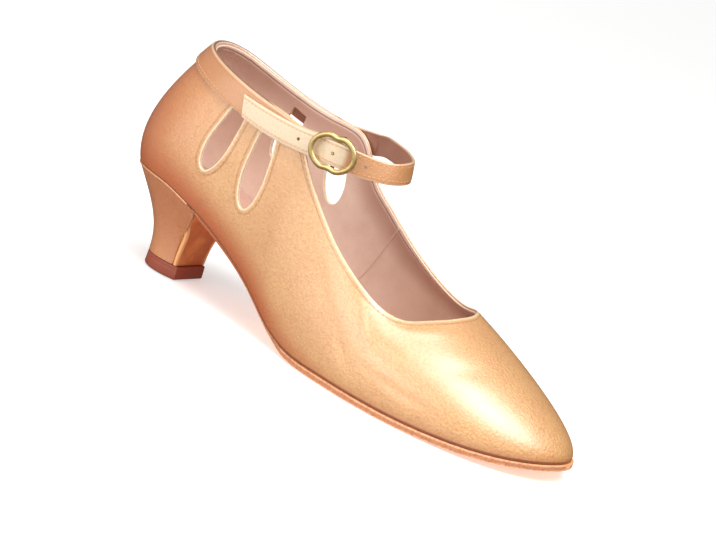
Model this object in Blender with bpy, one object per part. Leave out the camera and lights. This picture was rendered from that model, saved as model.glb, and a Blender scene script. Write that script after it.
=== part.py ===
"""A right-foot ballroom dance shoe: court shape, four teardrop openings, buckled instep strap.

The shoe stands on its own sole.  +X runs to the toe, +Y to the inner side, +Z up, and the
origin is the middle of the face the heel stands on.
"""
import bmesh
import bpy
import numpy as np

# Driving dimensions, in metres: the last.
LENGTH = 0.240         # back of the heel seat to the toe
BACK = -0.0315         # where that length starts, behind the middle of the heel
HALF_BALL = 0.040      # half the width across the ball of the foot
SEAT = 0.043           # height of the heel seat
COLLAR = 0.1035        # height of the collar at the back

# The upper, the sock and the sole.
WALL = 0.0016          # thickness of the upper
GAP = 0.0003           # air between neighbouring pieces
DROP_HALF = 0.0060     # half the width of the widest teardrop opening
INSOLE = 0.0020        # thickness of the insole
SOLE = 0.0025          # thickness of the sole under the ball
WAIST_SOLE = 0.0016    # thickness of the sole at the waist
FLAP = 0.0016          # thickness of the sole where it covers the heel's front

# The heel.
HEEL_BACK = 0.0128     # middle of the heel to the back of the face it stands on
HEEL_FRONT = 0.0106    # middle of the heel to the front of that face
HEEL_HALF = 0.0114     # half the width of that face
HEEL_LEAN = 0.0020     # how far the heel's front leans forward from that face to the seat
CORNER = 0.0086        # how far the sole's rounded corner runs forward from there
TOP_PIECE = 0.0060     # thickness of the piece the heel stands on
TOP_LIP = 0.0012       # how far that piece stands out past the flap
BEVEL = 0.0005         # worn edge of that piece

# The collar band, the strap and the buckle.
BAND = 0.0012          # thickness of the collar band and strap
FOLD = 0.0009          # thickness of the tab, skived where it loops round the bar
BAND_WIDE = 0.0112     # width of the collar band
STRAP_WIDE = 0.0100    # width of the free strap
STRAP_PLAY = 0.0013    # room between the strap's edge and the buckle's frame
FRAME_LONG = 0.0098    # half the buckle's length along the strap
WIRE = 0.0010          # half the thickness of the buckle's frame
BAR = 0.0009           # half the thickness of its bar
PEG = 0.0005           # half the thickness of its peg
HOLE = 0.0008          # half the width of a hole in the strap

# Where the buckle's bar stands: shares of LENGTH from BACK, of HALF_BALL and of COLLAR.
BAR_AT = (0.4584, -0.7236, 0.8406)

# The strap's holes, as distances along it from the bar towards the tip.
HOLES = (-0.0138, 0.0, 0.0180)

# Underside of the upper along the foot: place and height, as shares of LENGTH and SEAT.
BED = (
    (0.000, 0.985), (0.045, 1.000), (0.090, 0.995), (0.140, 0.965), (0.180, 0.905),
    (0.220, 0.830), (0.255, 0.750), (0.290, 0.660), (0.340, 0.520), (0.390, 0.350),
    (0.428, 0.218), (0.470, 0.118), (0.505, 0.076), (0.560, 0.065), (0.700, 0.065),
    (0.760, 0.066), (0.800, 0.073), (0.840, 0.084), (0.880, 0.100), (0.925, 0.127),
    (0.960, 0.158), (0.998, 0.200),
)

# One row for each slice of the wall, round the shoe from the back by the outer side.
# Feather edge: along, side.  Top line: along, side, height.
# Shares of LENGTH from BACK, of HALF_BALL, and of COLLAR.
SLICES = (
    # along   side    top_along  top_side  top_height
    (0.010, 0.000, 0.087, 0.000, 1.000),
    (0.036, -0.390, 0.104, -0.315, 0.986),
    (0.098, -0.605, 0.151, -0.515, 0.961),
    (0.184, -0.640, 0.210, -0.630, 0.936),
    (0.272, -0.615, 0.290, -0.685, 0.905),
    (0.350, -0.630, 0.366, -0.705, 0.870),
    (0.408, -0.675, 0.402, -0.705, 0.769),
    (0.465, -0.738, 0.455, -0.710, 0.632),
    (0.528, -0.818, 0.515, -0.710, 0.510),
    (0.600, -0.895, 0.576, -0.700, 0.422),
    (0.682, -0.935, 0.632, -0.645, 0.362),
    (0.765, -0.895, 0.673, -0.540, 0.350),
    (0.846, -0.785, 0.700, -0.395, 0.374),
    (0.914, -0.600, 0.720, -0.240, 0.396),
    (0.970, -0.310, 0.732, -0.065, 0.413),
    (0.994, 0.070, 0.736, 0.105, 0.423),
    (0.969, 0.430, 0.730, 0.265, 0.430),
    (0.910, 0.690, 0.714, 0.400, 0.424),
    (0.838, 0.865, 0.692, 0.508, 0.410),
    (0.758, 0.970, 0.657, 0.605, 0.408),
    (0.678, 1.015, 0.607, 0.665, 0.438),
    (0.598, 0.990, 0.556, 0.695, 0.487),
    (0.530, 0.885, 0.510, 0.705, 0.544),
    (0.470, 0.750, 0.464, 0.705, 0.614),
    (0.410, 0.640, 0.412, 0.700, 0.706),
    (0.348, 0.575, 0.364, 0.695, 0.840),
    (0.272, 0.565, 0.290, 0.675, 0.866),
    (0.181, 0.620, 0.210, 0.620, 0.895),
    (0.098, 0.605, 0.151, 0.505, 0.936),
    (0.036, 0.390, 0.104, 0.315, 0.980),
)

# How full the wall is between its two edges, by slice number, in shares of HALF_BALL.
FULLNESS = (
    # slice  low_out  low_up  high_out  high_up
    (0.0, 0.190, 0.430, 0.390, -0.560),
    (1.5, 0.170, 0.430, 0.260, -0.520),
    (3.0, 0.160, 0.430, 0.075, -0.480),
    (5.0, 0.170, 0.350, 0.060, -0.450),
    (7.0, 0.130, 0.300, 0.100, -0.420),
    (8.5, 0.105, 0.300, 0.130, -0.320),
    (10.0, 0.080, 0.290, 0.200, -0.190),
    (12.0, 0.065, 0.290, 0.380, -0.150),
    (13.5, 0.055, 0.280, 0.500, -0.210),
    (15.0, 0.050, 0.270, 0.560, -0.260),
    (16.5, 0.055, 0.280, 0.500, -0.230),
    (18.0, 0.060, 0.300, 0.370, -0.190),
    (20.0, 0.080, 0.300, 0.190, -0.220),
    (21.5, 0.100, 0.300, 0.130, -0.320),
    (23.0, 0.130, 0.320, 0.100, -0.420),
    (25.0, 0.170, 0.380, 0.060, -0.450),
    (27.0, 0.160, 0.430, 0.075, -0.480),
    (28.5, 0.170, 0.430, 0.260, -0.520),
)

# Teardrop openings.  Shares of LENGTH from BACK and of COLLAR for foot and head, of DROP_HALF
# for the width, and of the drop itself for where it is widest.
DROPS = (
    # side  foot_along  foot_height  head_along  head_height  half_width  widest_at
    (-1, 0.209, 0.536, 0.245, 0.850, 0.94, 0.40),
    (-1, 0.315, 0.464, 0.318, 0.820, 1.00, 0.42),
    (1, 0.190, 0.580, 0.222, 0.825, 0.90, 0.42),
    (1, 0.344, 0.515, 0.314, 0.800, 0.94, 0.42),
)

# Half of the face the heel stands on, from its front corner to the back.  Along in shares of
# HEEL_FRONT or, behind the middle, of HEEL_BACK; side in shares of HEEL_HALF.
HEEL_FACE = (
    # along   side
    (0.974, 0.907), (0.566, 0.987), (0.045, 1.000), (-0.374, 0.886),
    (-0.720, 0.633), (-0.935, 0.316), (-1.000, 0.000),
)

# How the flap down the heel's front widens from the heel's foot to the seat: height along the
# front, and the share of the whole widening reached there.
FLAP_SIDES = ((0.00, 0.00), (0.25, 0.05), (0.45, 0.18), (0.60, 0.41), (0.78, 0.71), (1.00, 1.00))

# How far the sole stands out past the upper's feather edge on each side.
# Shares of LENGTH from BACK, and of HALF_BALL.
SOLE_EDGE = (
    # along   outer   inner
    (0.215, -0.025, -0.030),
    (0.340, -0.040, -0.050),
    (0.423, -0.050, -0.100),
    (0.458, -0.030, -0.085),
    (0.490, 0.010, 0.005),
    (0.548, 0.025, 0.030),
    (1.000, 0.030, 0.030),
)

# The free strap from the inner quarter over the instep: its middle line, then how far its
# upper edge lies along, aside of and above its lower edge.
# Shares of LENGTH from BACK, of HALF_BALL, of COLLAR, and three of STRAP_WIDE.
STRAP = (
    # along   side    height   lean_along  lean_side  tall
    (0.3883, 0.7155, 0.8284, -0.05, -0.06, 0.97),
    (0.4158, 0.6045, 0.8452, -0.07, -0.08, 0.91),
    (0.4528, 0.4200, 0.8545, -0.12, -0.10, 0.89),
    (0.4983, 0.2130, 0.8568, -0.14, -0.02, 0.89),
    (0.5338, 0.0000, 0.8533, -0.17, 0.05, 0.86),
    (0.5478, -0.1650, 0.8475, -0.22, 0.07, 0.89),
    (0.5448, -0.3390, 0.8371, -0.22, 0.12, 0.86),
    (0.5278, -0.4950, 0.8301, -0.17, 0.17, 0.86),
    (0.5033, -0.6345, 0.8330, -0.05, 0.08, 0.95),
)

# The strap where it crosses the bar and runs on over the tab.  Ahead of the bar in shares of
# FRAME_LONG; out from the bar in shares of what lies under it there, the folded tab on the
# bar or the plain tab; above the bar's middle, and its height, in shares of STRAP_WIDE.
CROSSING = (
    # ahead   on_bar  on_tab  above   tall
    (0.680, -0.230, 0.000, -0.03, 0.97),
    (0.365, 0.500, 0.000, -0.01, 0.99),
    (0.000, 1.000, 0.000, 0.00, 1.00),
    (-0.370, 0.940, 0.000, -0.01, 0.99),
    (-0.760, 0.620, 0.000, -0.03, 0.99),
    (-1.250, 0.000, 0.860, -0.07, 0.97),
    (-1.780, 0.000, 1.060, -0.12, 0.97),
)

# The tab from its loop round the bar back to the quarter.  Behind the bar in shares of
# FRAME_LONG, in from its axis in shares of the loop's radius, then as above.
TAB = (
    # behind   in     above   tall
    (0.420, 0.960, -0.005, 0.94),
    (0.910, 0.580, -0.030, 0.99),
    (1.350, 0.105, -0.070, 1.02),
    (1.690, -0.125, -0.100, 1.04),
)


def spline(rows, at, closed=False, period=None):
    """Values at AT of the smooth curve through ROWS, whose first column is the place."""
    rows = np.array(rows, float)
    at = np.atleast_1d(np.asarray(at, float))
    if closed:
        at = np.mod(at, period)
        rows = wrapped(rows, period)
    knot, value = rows[:, 0], rows[:, 1:]
    step = np.diff(knot)[:, None]
    slope = np.diff(value, axis=0) / step
    count = len(knot)
    matrix = np.zeros((count, count))
    right = np.zeros((count, value.shape[1]))
    matrix[0, :2] = (2.0, 1.0)
    right[0] = 3.0 * slope[0]
    matrix[-1, -2:] = (1.0, 2.0)
    right[-1] = 3.0 * slope[-1]
    for i in range(1, count - 1):
        before, after = step[i - 1, 0], step[i, 0]
        matrix[i, i - 1:i + 2] = (after, 2.0 * (before + after), before)
        right[i] = 3.0 * (after * slope[i - 1] + before * slope[i])
    tangent = np.linalg.solve(matrix, right)
    i = np.clip(np.searchsorted(knot, at, side="right") - 1, 0, count - 2)
    wide = step[i]
    t = (at - knot[i])[:, None] / wide
    return ((1 + 2 * t) * (1 - t) ** 2 * value[i] + t * (1 - t) ** 2 * wide * tangent[i]
            + t * t * (3 - 2 * t) * value[i + 1] - t * t * (1 - t) * wide * tangent[i + 1])


def numbered(rows, count):
    """COUNT evenly numbered values of the smooth curve through ROWS, from first to last."""
    rows = [(i,) + tuple(row) for i, row in enumerate(rows)]
    return spline(rows, np.linspace(0.0, len(rows) - 1.0, count))


def bezier(t, a, b, c, d):
    """The cubic curve from A to D with handles B and C, at T."""
    return ((1 - t) ** 3 * a + 3 * t * (1 - t) ** 2 * b
            + 3 * t * t * (1 - t) * c + t ** 3 * d)


def wrapped(rows, period):
    """ROWS of a closed curve with a few repeated past each end, so the ends match."""
    before = rows[-5:].copy()
    before[:, 0] -= period
    after = rows[:5].copy()
    after[:, 0] += period
    return np.vstack([before, rows, after])


def unit(v):
    """V with every vector brought to length one."""
    return v / np.maximum(np.linalg.norm(v, axis=-1, keepdims=True), 1e-12)


def bed(x):
    """Height of the underside of the upper at X."""
    return SEAT * spline(BED, (np.asarray(x, float) - BACK) / LENGTH)[:, 0]


def place(along, side, height):
    """A point from its shares of LENGTH from BACK, of HALF_BALL and of COLLAR."""
    return np.array([BACK + LENGTH * along, HALF_BALL * side, COLLAR * height])


def slices(u):
    """Feather edge and top line at the slice numbers U."""
    rows = [(i,) + row for i, row in enumerate(SLICES)]
    s = spline(rows, u, True, len(SLICES))
    x = BACK + LENGTH * s[:, 0]
    low = np.stack([x, HALF_BALL * s[:, 1], bed(x)], 1)
    high = np.stack([BACK + LENGTH * s[:, 2], HALF_BALL * s[:, 3], COLLAR * s[:, 4]], 1)
    return low, high


def outward(u):
    """Level directions square to the feather edge at the slice numbers U."""
    a, b = slices(u + 0.02)[0], slices(u - 0.02)[0]
    run = unit((a - b)[:, :2])
    return np.stack([run[:, 1], -run[:, 0], np.zeros(len(run))], 1)


def wall(u, v):
    """The outside of the upper: one row of points for each slice U, from V = 0 to 1."""
    u = np.asarray(u, float)
    low, high = slices(u)
    full = HALF_BALL * spline(FULLNESS, u, True, len(SLICES))
    out = outward(u)
    level = high - low
    level[:, 2] = 0.0
    away = unit(0.3 * HALF_BALL * out - level)
    up = np.array([0.0, 0.0, 1.0])
    c1 = low + out * full[:, 0:1] + up * full[:, 1:2]
    c2 = high + away * full[:, 2:3] + up * full[:, 3:4]
    t = np.asarray(v, float)[None, :, None]
    return bezier(t, *[q[:, None, :] for q in (low, c1, c2, high)])


def wall_normals(u, v):
    """Outward directions square to the wall at the same points."""
    u = np.asarray(u, float)
    v = np.asarray(v, float)
    along = wall(u + 0.02, v) - wall(u - 0.02, v)
    lift = wall(u, np.minimum(v + 0.01, 1.0)) - wall(u, np.maximum(v - 0.01, 0.0))
    n = unit(np.cross(lift, along))
    return n * np.sign(np.sum(n * outward(u)[:, None, :], axis=2)[:, :, None]
                       + 2.0 * n[:, :, 2:3])


def down_wall(u, drop):
    """Points on the wall a distance DROP below the top line, and the directions out there."""
    v = np.linspace(0.3, 1.0, 71)
    points = wall(u, v)
    normals = wall_normals(u, v)
    spot, out = [], []
    for p, n, d in zip(points, normals, np.broadcast_to(drop, (len(u),))):
        gone = np.linalg.norm(np.diff(p, axis=0), axis=1)[::-1]
        gone = np.concatenate([[0.0], np.cumsum(gone)])
        spot.append([np.interp(d, gone, p[::-1, k]) for k in range(3)])
        out.append([np.interp(d, gone, n[::-1, k]) for k in range(3)])
    return np.array(spot), unit(np.array(out))


def side_at(x, grow_outer, grow_inner):
    """The feather edge's outer and inner side at X, each grown outwards."""
    u = np.linspace(0.0, len(SLICES), 1201)
    edge = slices(u)[0]
    level = outward(u)
    toe = int(np.argmax(edge[:, 0]))
    sides = []
    for half, grow in ((slice(0, toe), grow_outer), (slice(None, toe, -1), grow_inner)):
        share = np.interp(edge[half, 0], x, np.broadcast_to(grow, (len(x),)))
        grown = edge[half] + level[half] * share[:, None]
        sides.append(np.interp(x, grown[:, 0], grown[:, 1]))
    return sides


def slice_near(x, inner):
    """The slice number where the feather edge passes X near the heel, on one side."""
    u = np.linspace(0.0, 9.0, 901)
    if inner:
        u = -u
    return np.interp(x, slices(u)[0][:, 0], u)


def loft(name, rings, wrap=False):
    """A closed solid through RINGS of points, its ends capped unless it WRAPs round."""
    rings = np.array(rings, float)
    count, size = rings.shape[:2]
    faces = []
    for i in range(count if wrap else count - 1):
        j = (i + 1) % count
        for k in range(size):
            m = (k + 1) % size
            faces.append((i * size + k, i * size + m, j * size + m, j * size + k))
    if not wrap:
        faces.append(tuple(range(size - 1, -1, -1)))
        faces.append(tuple((count - 1) * size + k for k in range(size)))
    mesh = bpy.data.meshes.new(name)
    mesh.from_pydata([tuple(p) for p in rings.reshape(-1, 3)], [], faces)
    mesh.update()
    work = bmesh.new()
    work.from_mesh(mesh)
    bmesh.ops.recalc_face_normals(work, faces=work.faces)
    work.to_mesh(mesh)
    work.free()
    thing = bpy.data.objects.new(name, mesh)
    bpy.context.scene.collection.objects.link(thing)
    return thing


def colour(thing, name, rgb, rough, metal=0.0):
    """Give THING its own material."""
    mat = bpy.data.materials.new(name)
    mat.use_nodes = True
    shader = mat.node_tree.nodes["Principled BSDF"]
    shader.inputs["Base Color"].default_value = rgb + (1.0,)
    shader.inputs["Roughness"].default_value = rough
    shader.inputs["Metallic"].default_value = metal
    thing.data.materials.append(mat)


def combine(thing, other, how):
    """Take OTHER out of THING, or join it on, as the Boolean operation HOW says."""
    other.hide_render = True
    other.display_type = "WIRE"
    change = thing.modifiers.new(other.name, "BOOLEAN")
    change.operation = how
    change.solver = "EXACT"
    change.object = other


def tube(name, path, radius, across, wrap=False, size=8):
    """A round bar along PATH; ACROSS is a direction that is never along it."""
    path = np.array(path, float)
    if wrap:
        run = unit(np.roll(path, -1, 0) - np.roll(path, 1, 0))
    else:
        run = unit(np.gradient(path, axis=0))
    one = unit(np.cross(run, across))
    two = np.cross(run, one)
    turn = 2 * np.pi * np.arange(size) / size
    rings = [p + radius * (np.cos(turn)[:, None] * a + np.sin(turn)[:, None] * b)
             for p, a, b in zip(path, one, two)]
    return loft(name, rings, wrap)


def drop_outline(foot, head, half, widest):
    """Points round one teardrop, round at its foot and broad at its head."""
    t = 1.0 - np.cos(np.linspace(0.0, np.pi / 2, 16))
    round_foot = np.sqrt(np.maximum(1 - (1 - t / widest) ** 2, 0.0))
    narrowing = 1 - 0.32 * np.maximum((t - widest) / (1 - widest), 0.0) ** 1.6
    reach = half * np.where(t < widest, round_foot, narrowing)
    axis = unit(head - foot)
    square = np.array([axis[1], -axis[0]])
    spine = foot + (head - foot) * t[:, None]
    return np.vstack([spine + square * reach[:, None], (spine - square * reach[:, None])[:0:-1]])


def make_upper():
    """The hollow leather body, open at the collar, the throat and underneath."""
    u = np.linspace(0.0, len(SLICES), 117)[:-1]
    v = np.linspace(0.0, 1.0, 13)
    outside = wall(u, v)
    # At the feather edge the wall's thickness is level, so its foot stays on the bed.
    square = np.clip(v * 6.0, 0.0, 1.0)[None, :, None]
    inward = unit(outward(u)[:, None, :] * (1 - square) + wall_normals(u, v) * square)
    inside = outside - WALL * inward
    upper = loft("upper", np.concatenate([outside, inside[:, ::-1]], axis=1), wrap=True)
    for i, (side, foot, low, head, high, wide, widest) in enumerate(DROPS):
        ring = drop_outline(place(foot, 0.0, low)[[0, 2]], place(head, 0.0, high)[[0, 2]],
                            DROP_HALF * wide, widest)
        rings = [[(x, side * y, z) for x, z in ring] for y in (0.45 * HALF_BALL, 1.15 * HALF_BALL)]
        combine(upper, loft("drop_%d" % (i + 1), rings), "DIFFERENCE")
    colour(upper, "gold_tan_leather", (0.80, 0.52, 0.29), 0.42)


def make_insole():
    """The padded sock the foot rests on, inside the upper."""
    inset = WALL + 2 * GAP
    back, toe = slices([0.0, len(SLICES) / 2])[0][:, 0]
    ends = 0.05
    share = (1 - np.cos(np.linspace(ends, np.pi - ends, 46))) / 2
    x = back + inset + GAP + (toe - back - 2 * inset - 2 * GAP) * share
    outer, inner = side_at(x, -inset, -inset)
    rings = [[(a, b, z), (a, c, z), (a, c, z + INSOLE), (a, b, z + INSOLE)]
             for a, b, c, z in zip(x, outer, inner, bed(x))]
    insole = loft("insole", rings)
    colour(insole, "mauve_sock_leather", (0.56, 0.38, 0.31), 0.75)


def heel_face(count):
    """Points round the heel's standing face from the outer front corner to the inner one."""
    half = [(along * (HEEL_FRONT if along > 0 else HEEL_BACK), HEEL_HALF * side)
            for along, side in HEEL_FACE]
    other = [(along, side) for along, side in half[:-1]][::-1]
    return numbered([(along, -side) for along, side in half] + other, count)


def breast(t):
    """The heel's front face from its foot (T = 0) to the bed (T = 1): along and height."""
    foot_x = HEEL_FRONT - TOP_LIP - FLAP - GAP
    head_x = HEEL_FRONT + HEEL_LEAN
    foot_z = TOP_PIECE + GAP
    head_z = bed([head_x])[0] - GAP
    t = np.asarray(t, float)
    return (bezier(t, foot_x, foot_x, 0.96 * head_x, head_x),
            bezier(t, foot_z, foot_z + 0.33 * SEAT, head_z - 0.28 * SEAT, head_z))


def make_heel():
    """The leather-covered heel, flared at the seat and open-curved at its back."""
    count = 33
    foot_x, head_x = breast(0.0)[0], breast(1.0)[0]
    foot = heel_face(count) * 0.985
    foot[:, 0] = np.minimum(foot[:, 0], foot_x)
    base = np.column_stack([foot, np.full(count, TOP_PIECE + GAP)])
    u = np.linspace(slice_near(head_x, False), slice_near(head_x, True), count)
    up = np.array([0.0, 0.0, 1.0])
    head = slices(u)[0] - up * GAP
    square = outward(u)
    lean = np.clip(-square[:, 0], 0.0, 1.0)[:, None]
    c1 = base + up * SEAT * 0.32
    c2 = head - square * SEAT * (0.20 + 0.02 * lean) - up * SEAT * (0.30 + 0.03 * lean)
    rings = []
    for t in np.linspace(0.0, 1.0, 13):
        side = bezier(t, base, c1, c2, head)
        x, z = breast(t)
        side[:, 0] = np.minimum(side[:, 0], x)
        side[[0, -1], 0] = x
        side[[0, -1], 2] = z
        across = np.linspace(side[-1, 1], side[0, 1], 7)[1:-1]
        rings.append(np.vstack([side, [(x, y, z) for y in across]]))
    heel = loft("heel", rings)
    colour(heel, "gold_tan_heel_cover", (0.78, 0.49, 0.26), 0.40)


def make_top_piece():
    """The dark wearing piece the heel stands on."""
    ring = heel_face(33)
    ring[:, 0] = np.minimum(ring[:, 0], HEEL_FRONT)
    ring[[0, -1], 0] = HEEL_FRONT
    rings = []
    for z, grow in ((0.0, 0.985), (BEVEL, 1.0), (TOP_PIECE - BEVEL, 0.985), (TOP_PIECE, 0.97)):
        rings.append([(x * grow, y * grow, z) for x, y in ring])
    piece = loft("top_piece", rings)
    colour(piece, "dark_heel_tip", (0.10, 0.025, 0.022), 0.38)


def flap_half(t):
    """Half the flap's width at T up the heel's front."""
    foot, head = 0.895 * HEEL_HALF, 0.570 * HALF_BALL
    return foot + (head - foot) * spline(FLAP_SIDES, [t])[0, 0]


def flap_rungs(last):
    """The sole's cross-sections down the heel's front, from its foot up to LAST."""
    rungs = []
    for t in np.linspace(0.0, last, 8):
        x, z = breast(t)
        w = flap_half(t)
        rungs.append([(x + GAP, -w, z), (x + GAP, w, z),
                      (x + GAP + FLAP, w, z), (x + GAP + FLAP, -w, z)])
    return rungs


def corner_rungs(last, end_x):
    """The sole's cross-sections round the corner from the heel's front into the waist."""
    x, z = breast(np.linspace(last, 1.0, 30))
    head_x = x[-1]
    start = np.array([x[0] + GAP + FLAP, z[0]])
    end = np.array([end_x - WAIST_SOLE * 0.4, bed([end_x])[0] - GAP - WAIST_SOLE * 0.94])
    c1 = np.array([head_x + FLAP * 1.2, 0.79 * SEAT])
    c2 = np.array([head_x + FLAP * 1.95, 0.845 * SEAT])
    seat_z = bed([head_x + GAP])[0] - GAP
    rungs = []
    for s in np.linspace(0.0, 1.0, 10)[1:]:
        outer = bezier(s, start, c1, c2, end)
        if s < 0.5:
            height = z[0] + (seat_z - z[0]) * 2 * s
            inner = np.array([np.interp(height, z, x) + GAP, height])
        else:
            along = head_x + GAP + (end_x - head_x - GAP) * (2 * s - 1)
            inner = np.array([along, bed([along])[0] - GAP])
        w = np.interp(s, (0.0, 0.35, 0.7, 1.0), (flap_half(last), 0.480 * HALF_BALL,
                                                 0.564 * HALF_BALL, 0.576 * HALF_BALL))
        rungs.append([(inner[0], -w, inner[1]), (inner[0], w, inner[1]),
                      (outer[0], w, outer[1]), (outer[0], -w, outer[1])])
    return rungs


def forefoot_rungs(end_x):
    """The sole's cross-sections from the waist to the toe, flat on the floor at the ball."""
    ball_x = place(0.485, 0.0, 0.0)[0]
    toe_x = slices([len(SLICES) / 2])[0][0, 0] + SOLE_EDGE[-1][1] * HALF_BALL - GAP / 2
    round_toe = np.sin(np.linspace(0.0, np.pi / 2, 41)[1:])
    x = np.concatenate([np.linspace(end_x, ball_x, 18)[1:], ball_x + (toe_x - ball_x) * round_toe])
    along, outer, inner = np.array(SOLE_EDGE).T
    shares = (x - BACK) / LENGTH
    sides = side_at(x, HALF_BALL * np.interp(shares, along, outer),
                    HALF_BALL * np.interp(shares, along, inner))
    top = bed(x) - GAP
    thick = np.interp(shares, (0.22, 0.38, 0.53), (WAIST_SOLE * 0.94, WAIST_SOLE, SOLE))
    low = top - thick
    low = np.where(x < ball_x, low, np.maximum(low, 0.0))
    # On the slope of the waist the underside is set back, so the sole's edge is square to it.
    back = np.gradient(top, x) * thick * 0.55 * np.clip((place(0.506, 0, 0)[0] - x) / 0.02, 0, 1)
    return [[(a, l, h), (a, m, h), (a + d, m, b), (a + d, l, b)]
            for a, l, m, h, b, d in zip(x, *sides, top, low, back)]


def make_outsole():
    """The suede sole, its narrow waist and the flap down the heel's front."""
    last = 0.62
    end_x = HEEL_FRONT + HEEL_LEAN + CORNER
    sole = loft("outsole", flap_rungs(last) + corner_rungs(last, end_x) + forefoot_rungs(end_x))
    colour(sole, "light_orange_suede", (0.76, 0.40, 0.16), 0.85)


def tab_edges(bar):
    """The tab's lower and upper edge from its folded end, round the bar, to the quarter."""
    loop = BAR + GAP + FOLD
    turn = np.linspace(0.0, np.pi, 13)
    arc = [(loop * np.sin(a), -loop * np.cos(a), 0.0, 0.92) for a in turn]
    end = [(-x * FRAME_LONG, -loop, 0.0, 0.92) for x in (0.36, 0.24, 0.12)]
    run = [(-behind * FRAME_LONG, loop * into, above, tall) for behind, into, above, tall in TAB]
    fold = np.array(end + arc)
    run = numbered([arc[-1]] + run, 18)[1:]
    rows = np.vstack([fold, run])
    centre = bar + np.column_stack([rows[:, :2], STRAP_WIDE * rows[:, 2]])
    half = np.column_stack([0 * rows[:, :2], STRAP_WIDE * rows[:, 3] / 2])
    thick = np.interp(np.arange(len(rows)), (len(fold), len(rows) - 1), (FOLD, BAND))
    return centre - half, centre + half, thick


def band_edges():
    """The collar band's lower and upper edge, from the outer quarter round to the inner one."""
    count = len(SLICES)
    u = np.concatenate([np.linspace(4.75, 0.0, 30), np.linspace(count - 0.15, count - 4.5, 26)])
    from_back = np.abs((u + count / 2) % count - count / 2)
    low, out_low = down_wall(u, BAND_WIDE * np.interp(from_back, (0.5, 3.0), (0.86, 1.0)))
    high, out_high = down_wall(u, 0.0)
    return low + out_low * GAP, high + out_high * GAP


def strap_edges(bar):
    """The free strap's lower and upper edge, and the share of it that lies before the bar."""
    rows = [np.concatenate([place(*row[:3]), STRAP_WIDE * np.array(row[3:])]) for row in STRAP]
    on_bar = BAR + FOLD + 2 * GAP
    on_tab = BAND + 2 * GAP
    for ahead, bar_share, tab_share, above, tall in CROSSING:
        middle = bar + np.array([ahead * FRAME_LONG, -bar_share * on_bar - tab_share * on_tab,
                                 above * STRAP_WIDE])
        rows.append(np.concatenate([middle, [0.0, 0.0, STRAP_WIDE * tall]]))
    path = numbered(rows, 66)
    crossed = len(STRAP) + [row[0] for row in CROSSING].index(0.0)
    return path[:, :3] - path[:, 3:] / 2, path[:, :3] + path[:, 3:] / 2, crossed / (len(rows) - 1)


def tip_edges():
    """The strap's tip, lying on the collar band."""
    lift = 2 * GAP + BAND
    below = BAND_WIDE + GAP
    low, out_low = down_wall(np.linspace(4.70, 3.66, 10), below)
    high, out_high = down_wall(np.linspace(4.75, 3.48, 10),
                               below - STRAP_WIDE * np.linspace(1.0, 0.86, 10))
    return low + out_low * lift, high + out_high * lift


def make_collar_strap():
    """The collar band, running on as the strap that is drawn through the buckle."""
    bar = place(*BAR_AT)
    tab_low, tab_high, thick = tab_edges(bar)
    free_low, free_high, crossed = strap_edges(bar)
    runs = [(tab_low, tab_high), band_edges(), (free_low, free_high), tip_edges()]
    low, high = [np.vstack(edges) for edges in zip(*runs)]
    run = unit(np.gradient((low + high) / 2, axis=0))
    out = unit(np.cross(unit(high - low), run))
    thick = np.concatenate([thick, np.full(len(low) - len(thick), BAND)])
    rings = [[a, b, b + n * t, a + n * t] for a, b, n, t in zip(low, high, out, thick)]
    strap = loft("collar_strap", rings)
    first = len(tab_low) + len(runs[1][0])
    middle, out = (free_low + free_high) / 2, out[first:first + len(free_low)]
    gone = np.concatenate([[0.0], np.cumsum(np.linalg.norm(np.diff(middle, axis=0), axis=1))])
    at_bar = np.interp(crossed, np.linspace(0.0, 1.0, len(gone)), gone)
    for i, along in enumerate(HOLES):
        spot = np.array([np.interp(at_bar + along, gone, middle[:, k]) for k in range(3)])
        aim = unit(np.array([np.interp(at_bar + along, gone, out[:, k]) for k in range(3)]))
        depth = BAR + FOLD if along == 0.0 else GAP
        path = [spot - aim * depth, spot + aim * (BAND + GAP)]
        cutter = tube("hole_%d" % (i + 1), path, HOLE, np.array([0.0, 0.0, 1.0]), size=10)
        combine(strap, cutter, "DIFFERENCE")
    colour(strap, "gold_tan_strap", (0.84, 0.60, 0.36), 0.42)


def make_buckle():
    """The two-lobed gilt frame with its sunk bar and short peg."""
    bar = place(*BAR_AT)
    on_bar = BAR + FOLD + 2 * GAP
    middle = bar - np.array([0.0, on_bar + 0.9 * BAND, 0.0])
    run = unit(np.array([0.985, 0.170, 0.0]))
    up = np.array([0.0, 0.0, 1.0])
    turn = 2 * np.pi * np.arange(48) / 48
    half_tall = STRAP_WIDE / 2 + STRAP_PLAY + WIRE
    a = FRAME_LONG * np.cos(turn)
    b = half_tall * np.sin(turn) * (1.0 - 0.10 * np.exp(-(a / (0.3 * FRAME_LONG)) ** 2))
    path = middle + a[:, None] * run + b[:, None] * up
    frame = tube("buckle", path, WIRE, np.cross(run, up), wrap=True)
    leg = 0.904 * half_tall
    half = [(leg, middle[1]), (leg, middle[1] + WIRE + GAP), (leg - GAP, bar[1] - GAP),
            (leg - BAR, bar[1])]
    rows = half + [(0.0, bar[1])] + [(-height, y) for height, y in reversed(half)]
    path = [(bar[0], y, bar[2] + height) for height, y in rows]
    combine(frame, tube("bar", path, BAR, np.array([1.0, 0.0, 0.0])), "UNION")
    path = [bar, bar - np.array([0.0, on_bar + BAND, 0.0])]
    combine(frame, tube("peg", path, PEG, np.array([1.0, 0.0, 0.0])), "UNION")
    colour(frame, "gilt_metal", (0.83, 0.64, 0.30), 0.25, 1.0)


for old in list(bpy.data.objects):
    bpy.data.objects.remove(old)
make_upper()
make_insole()
make_outsole()
make_heel()
make_top_piece()
make_collar_strap()
make_buckle()
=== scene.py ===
"""Looks of a right-foot ballroom dance shoe in gold-tan leather, with a suede sole."""

import math

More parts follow.
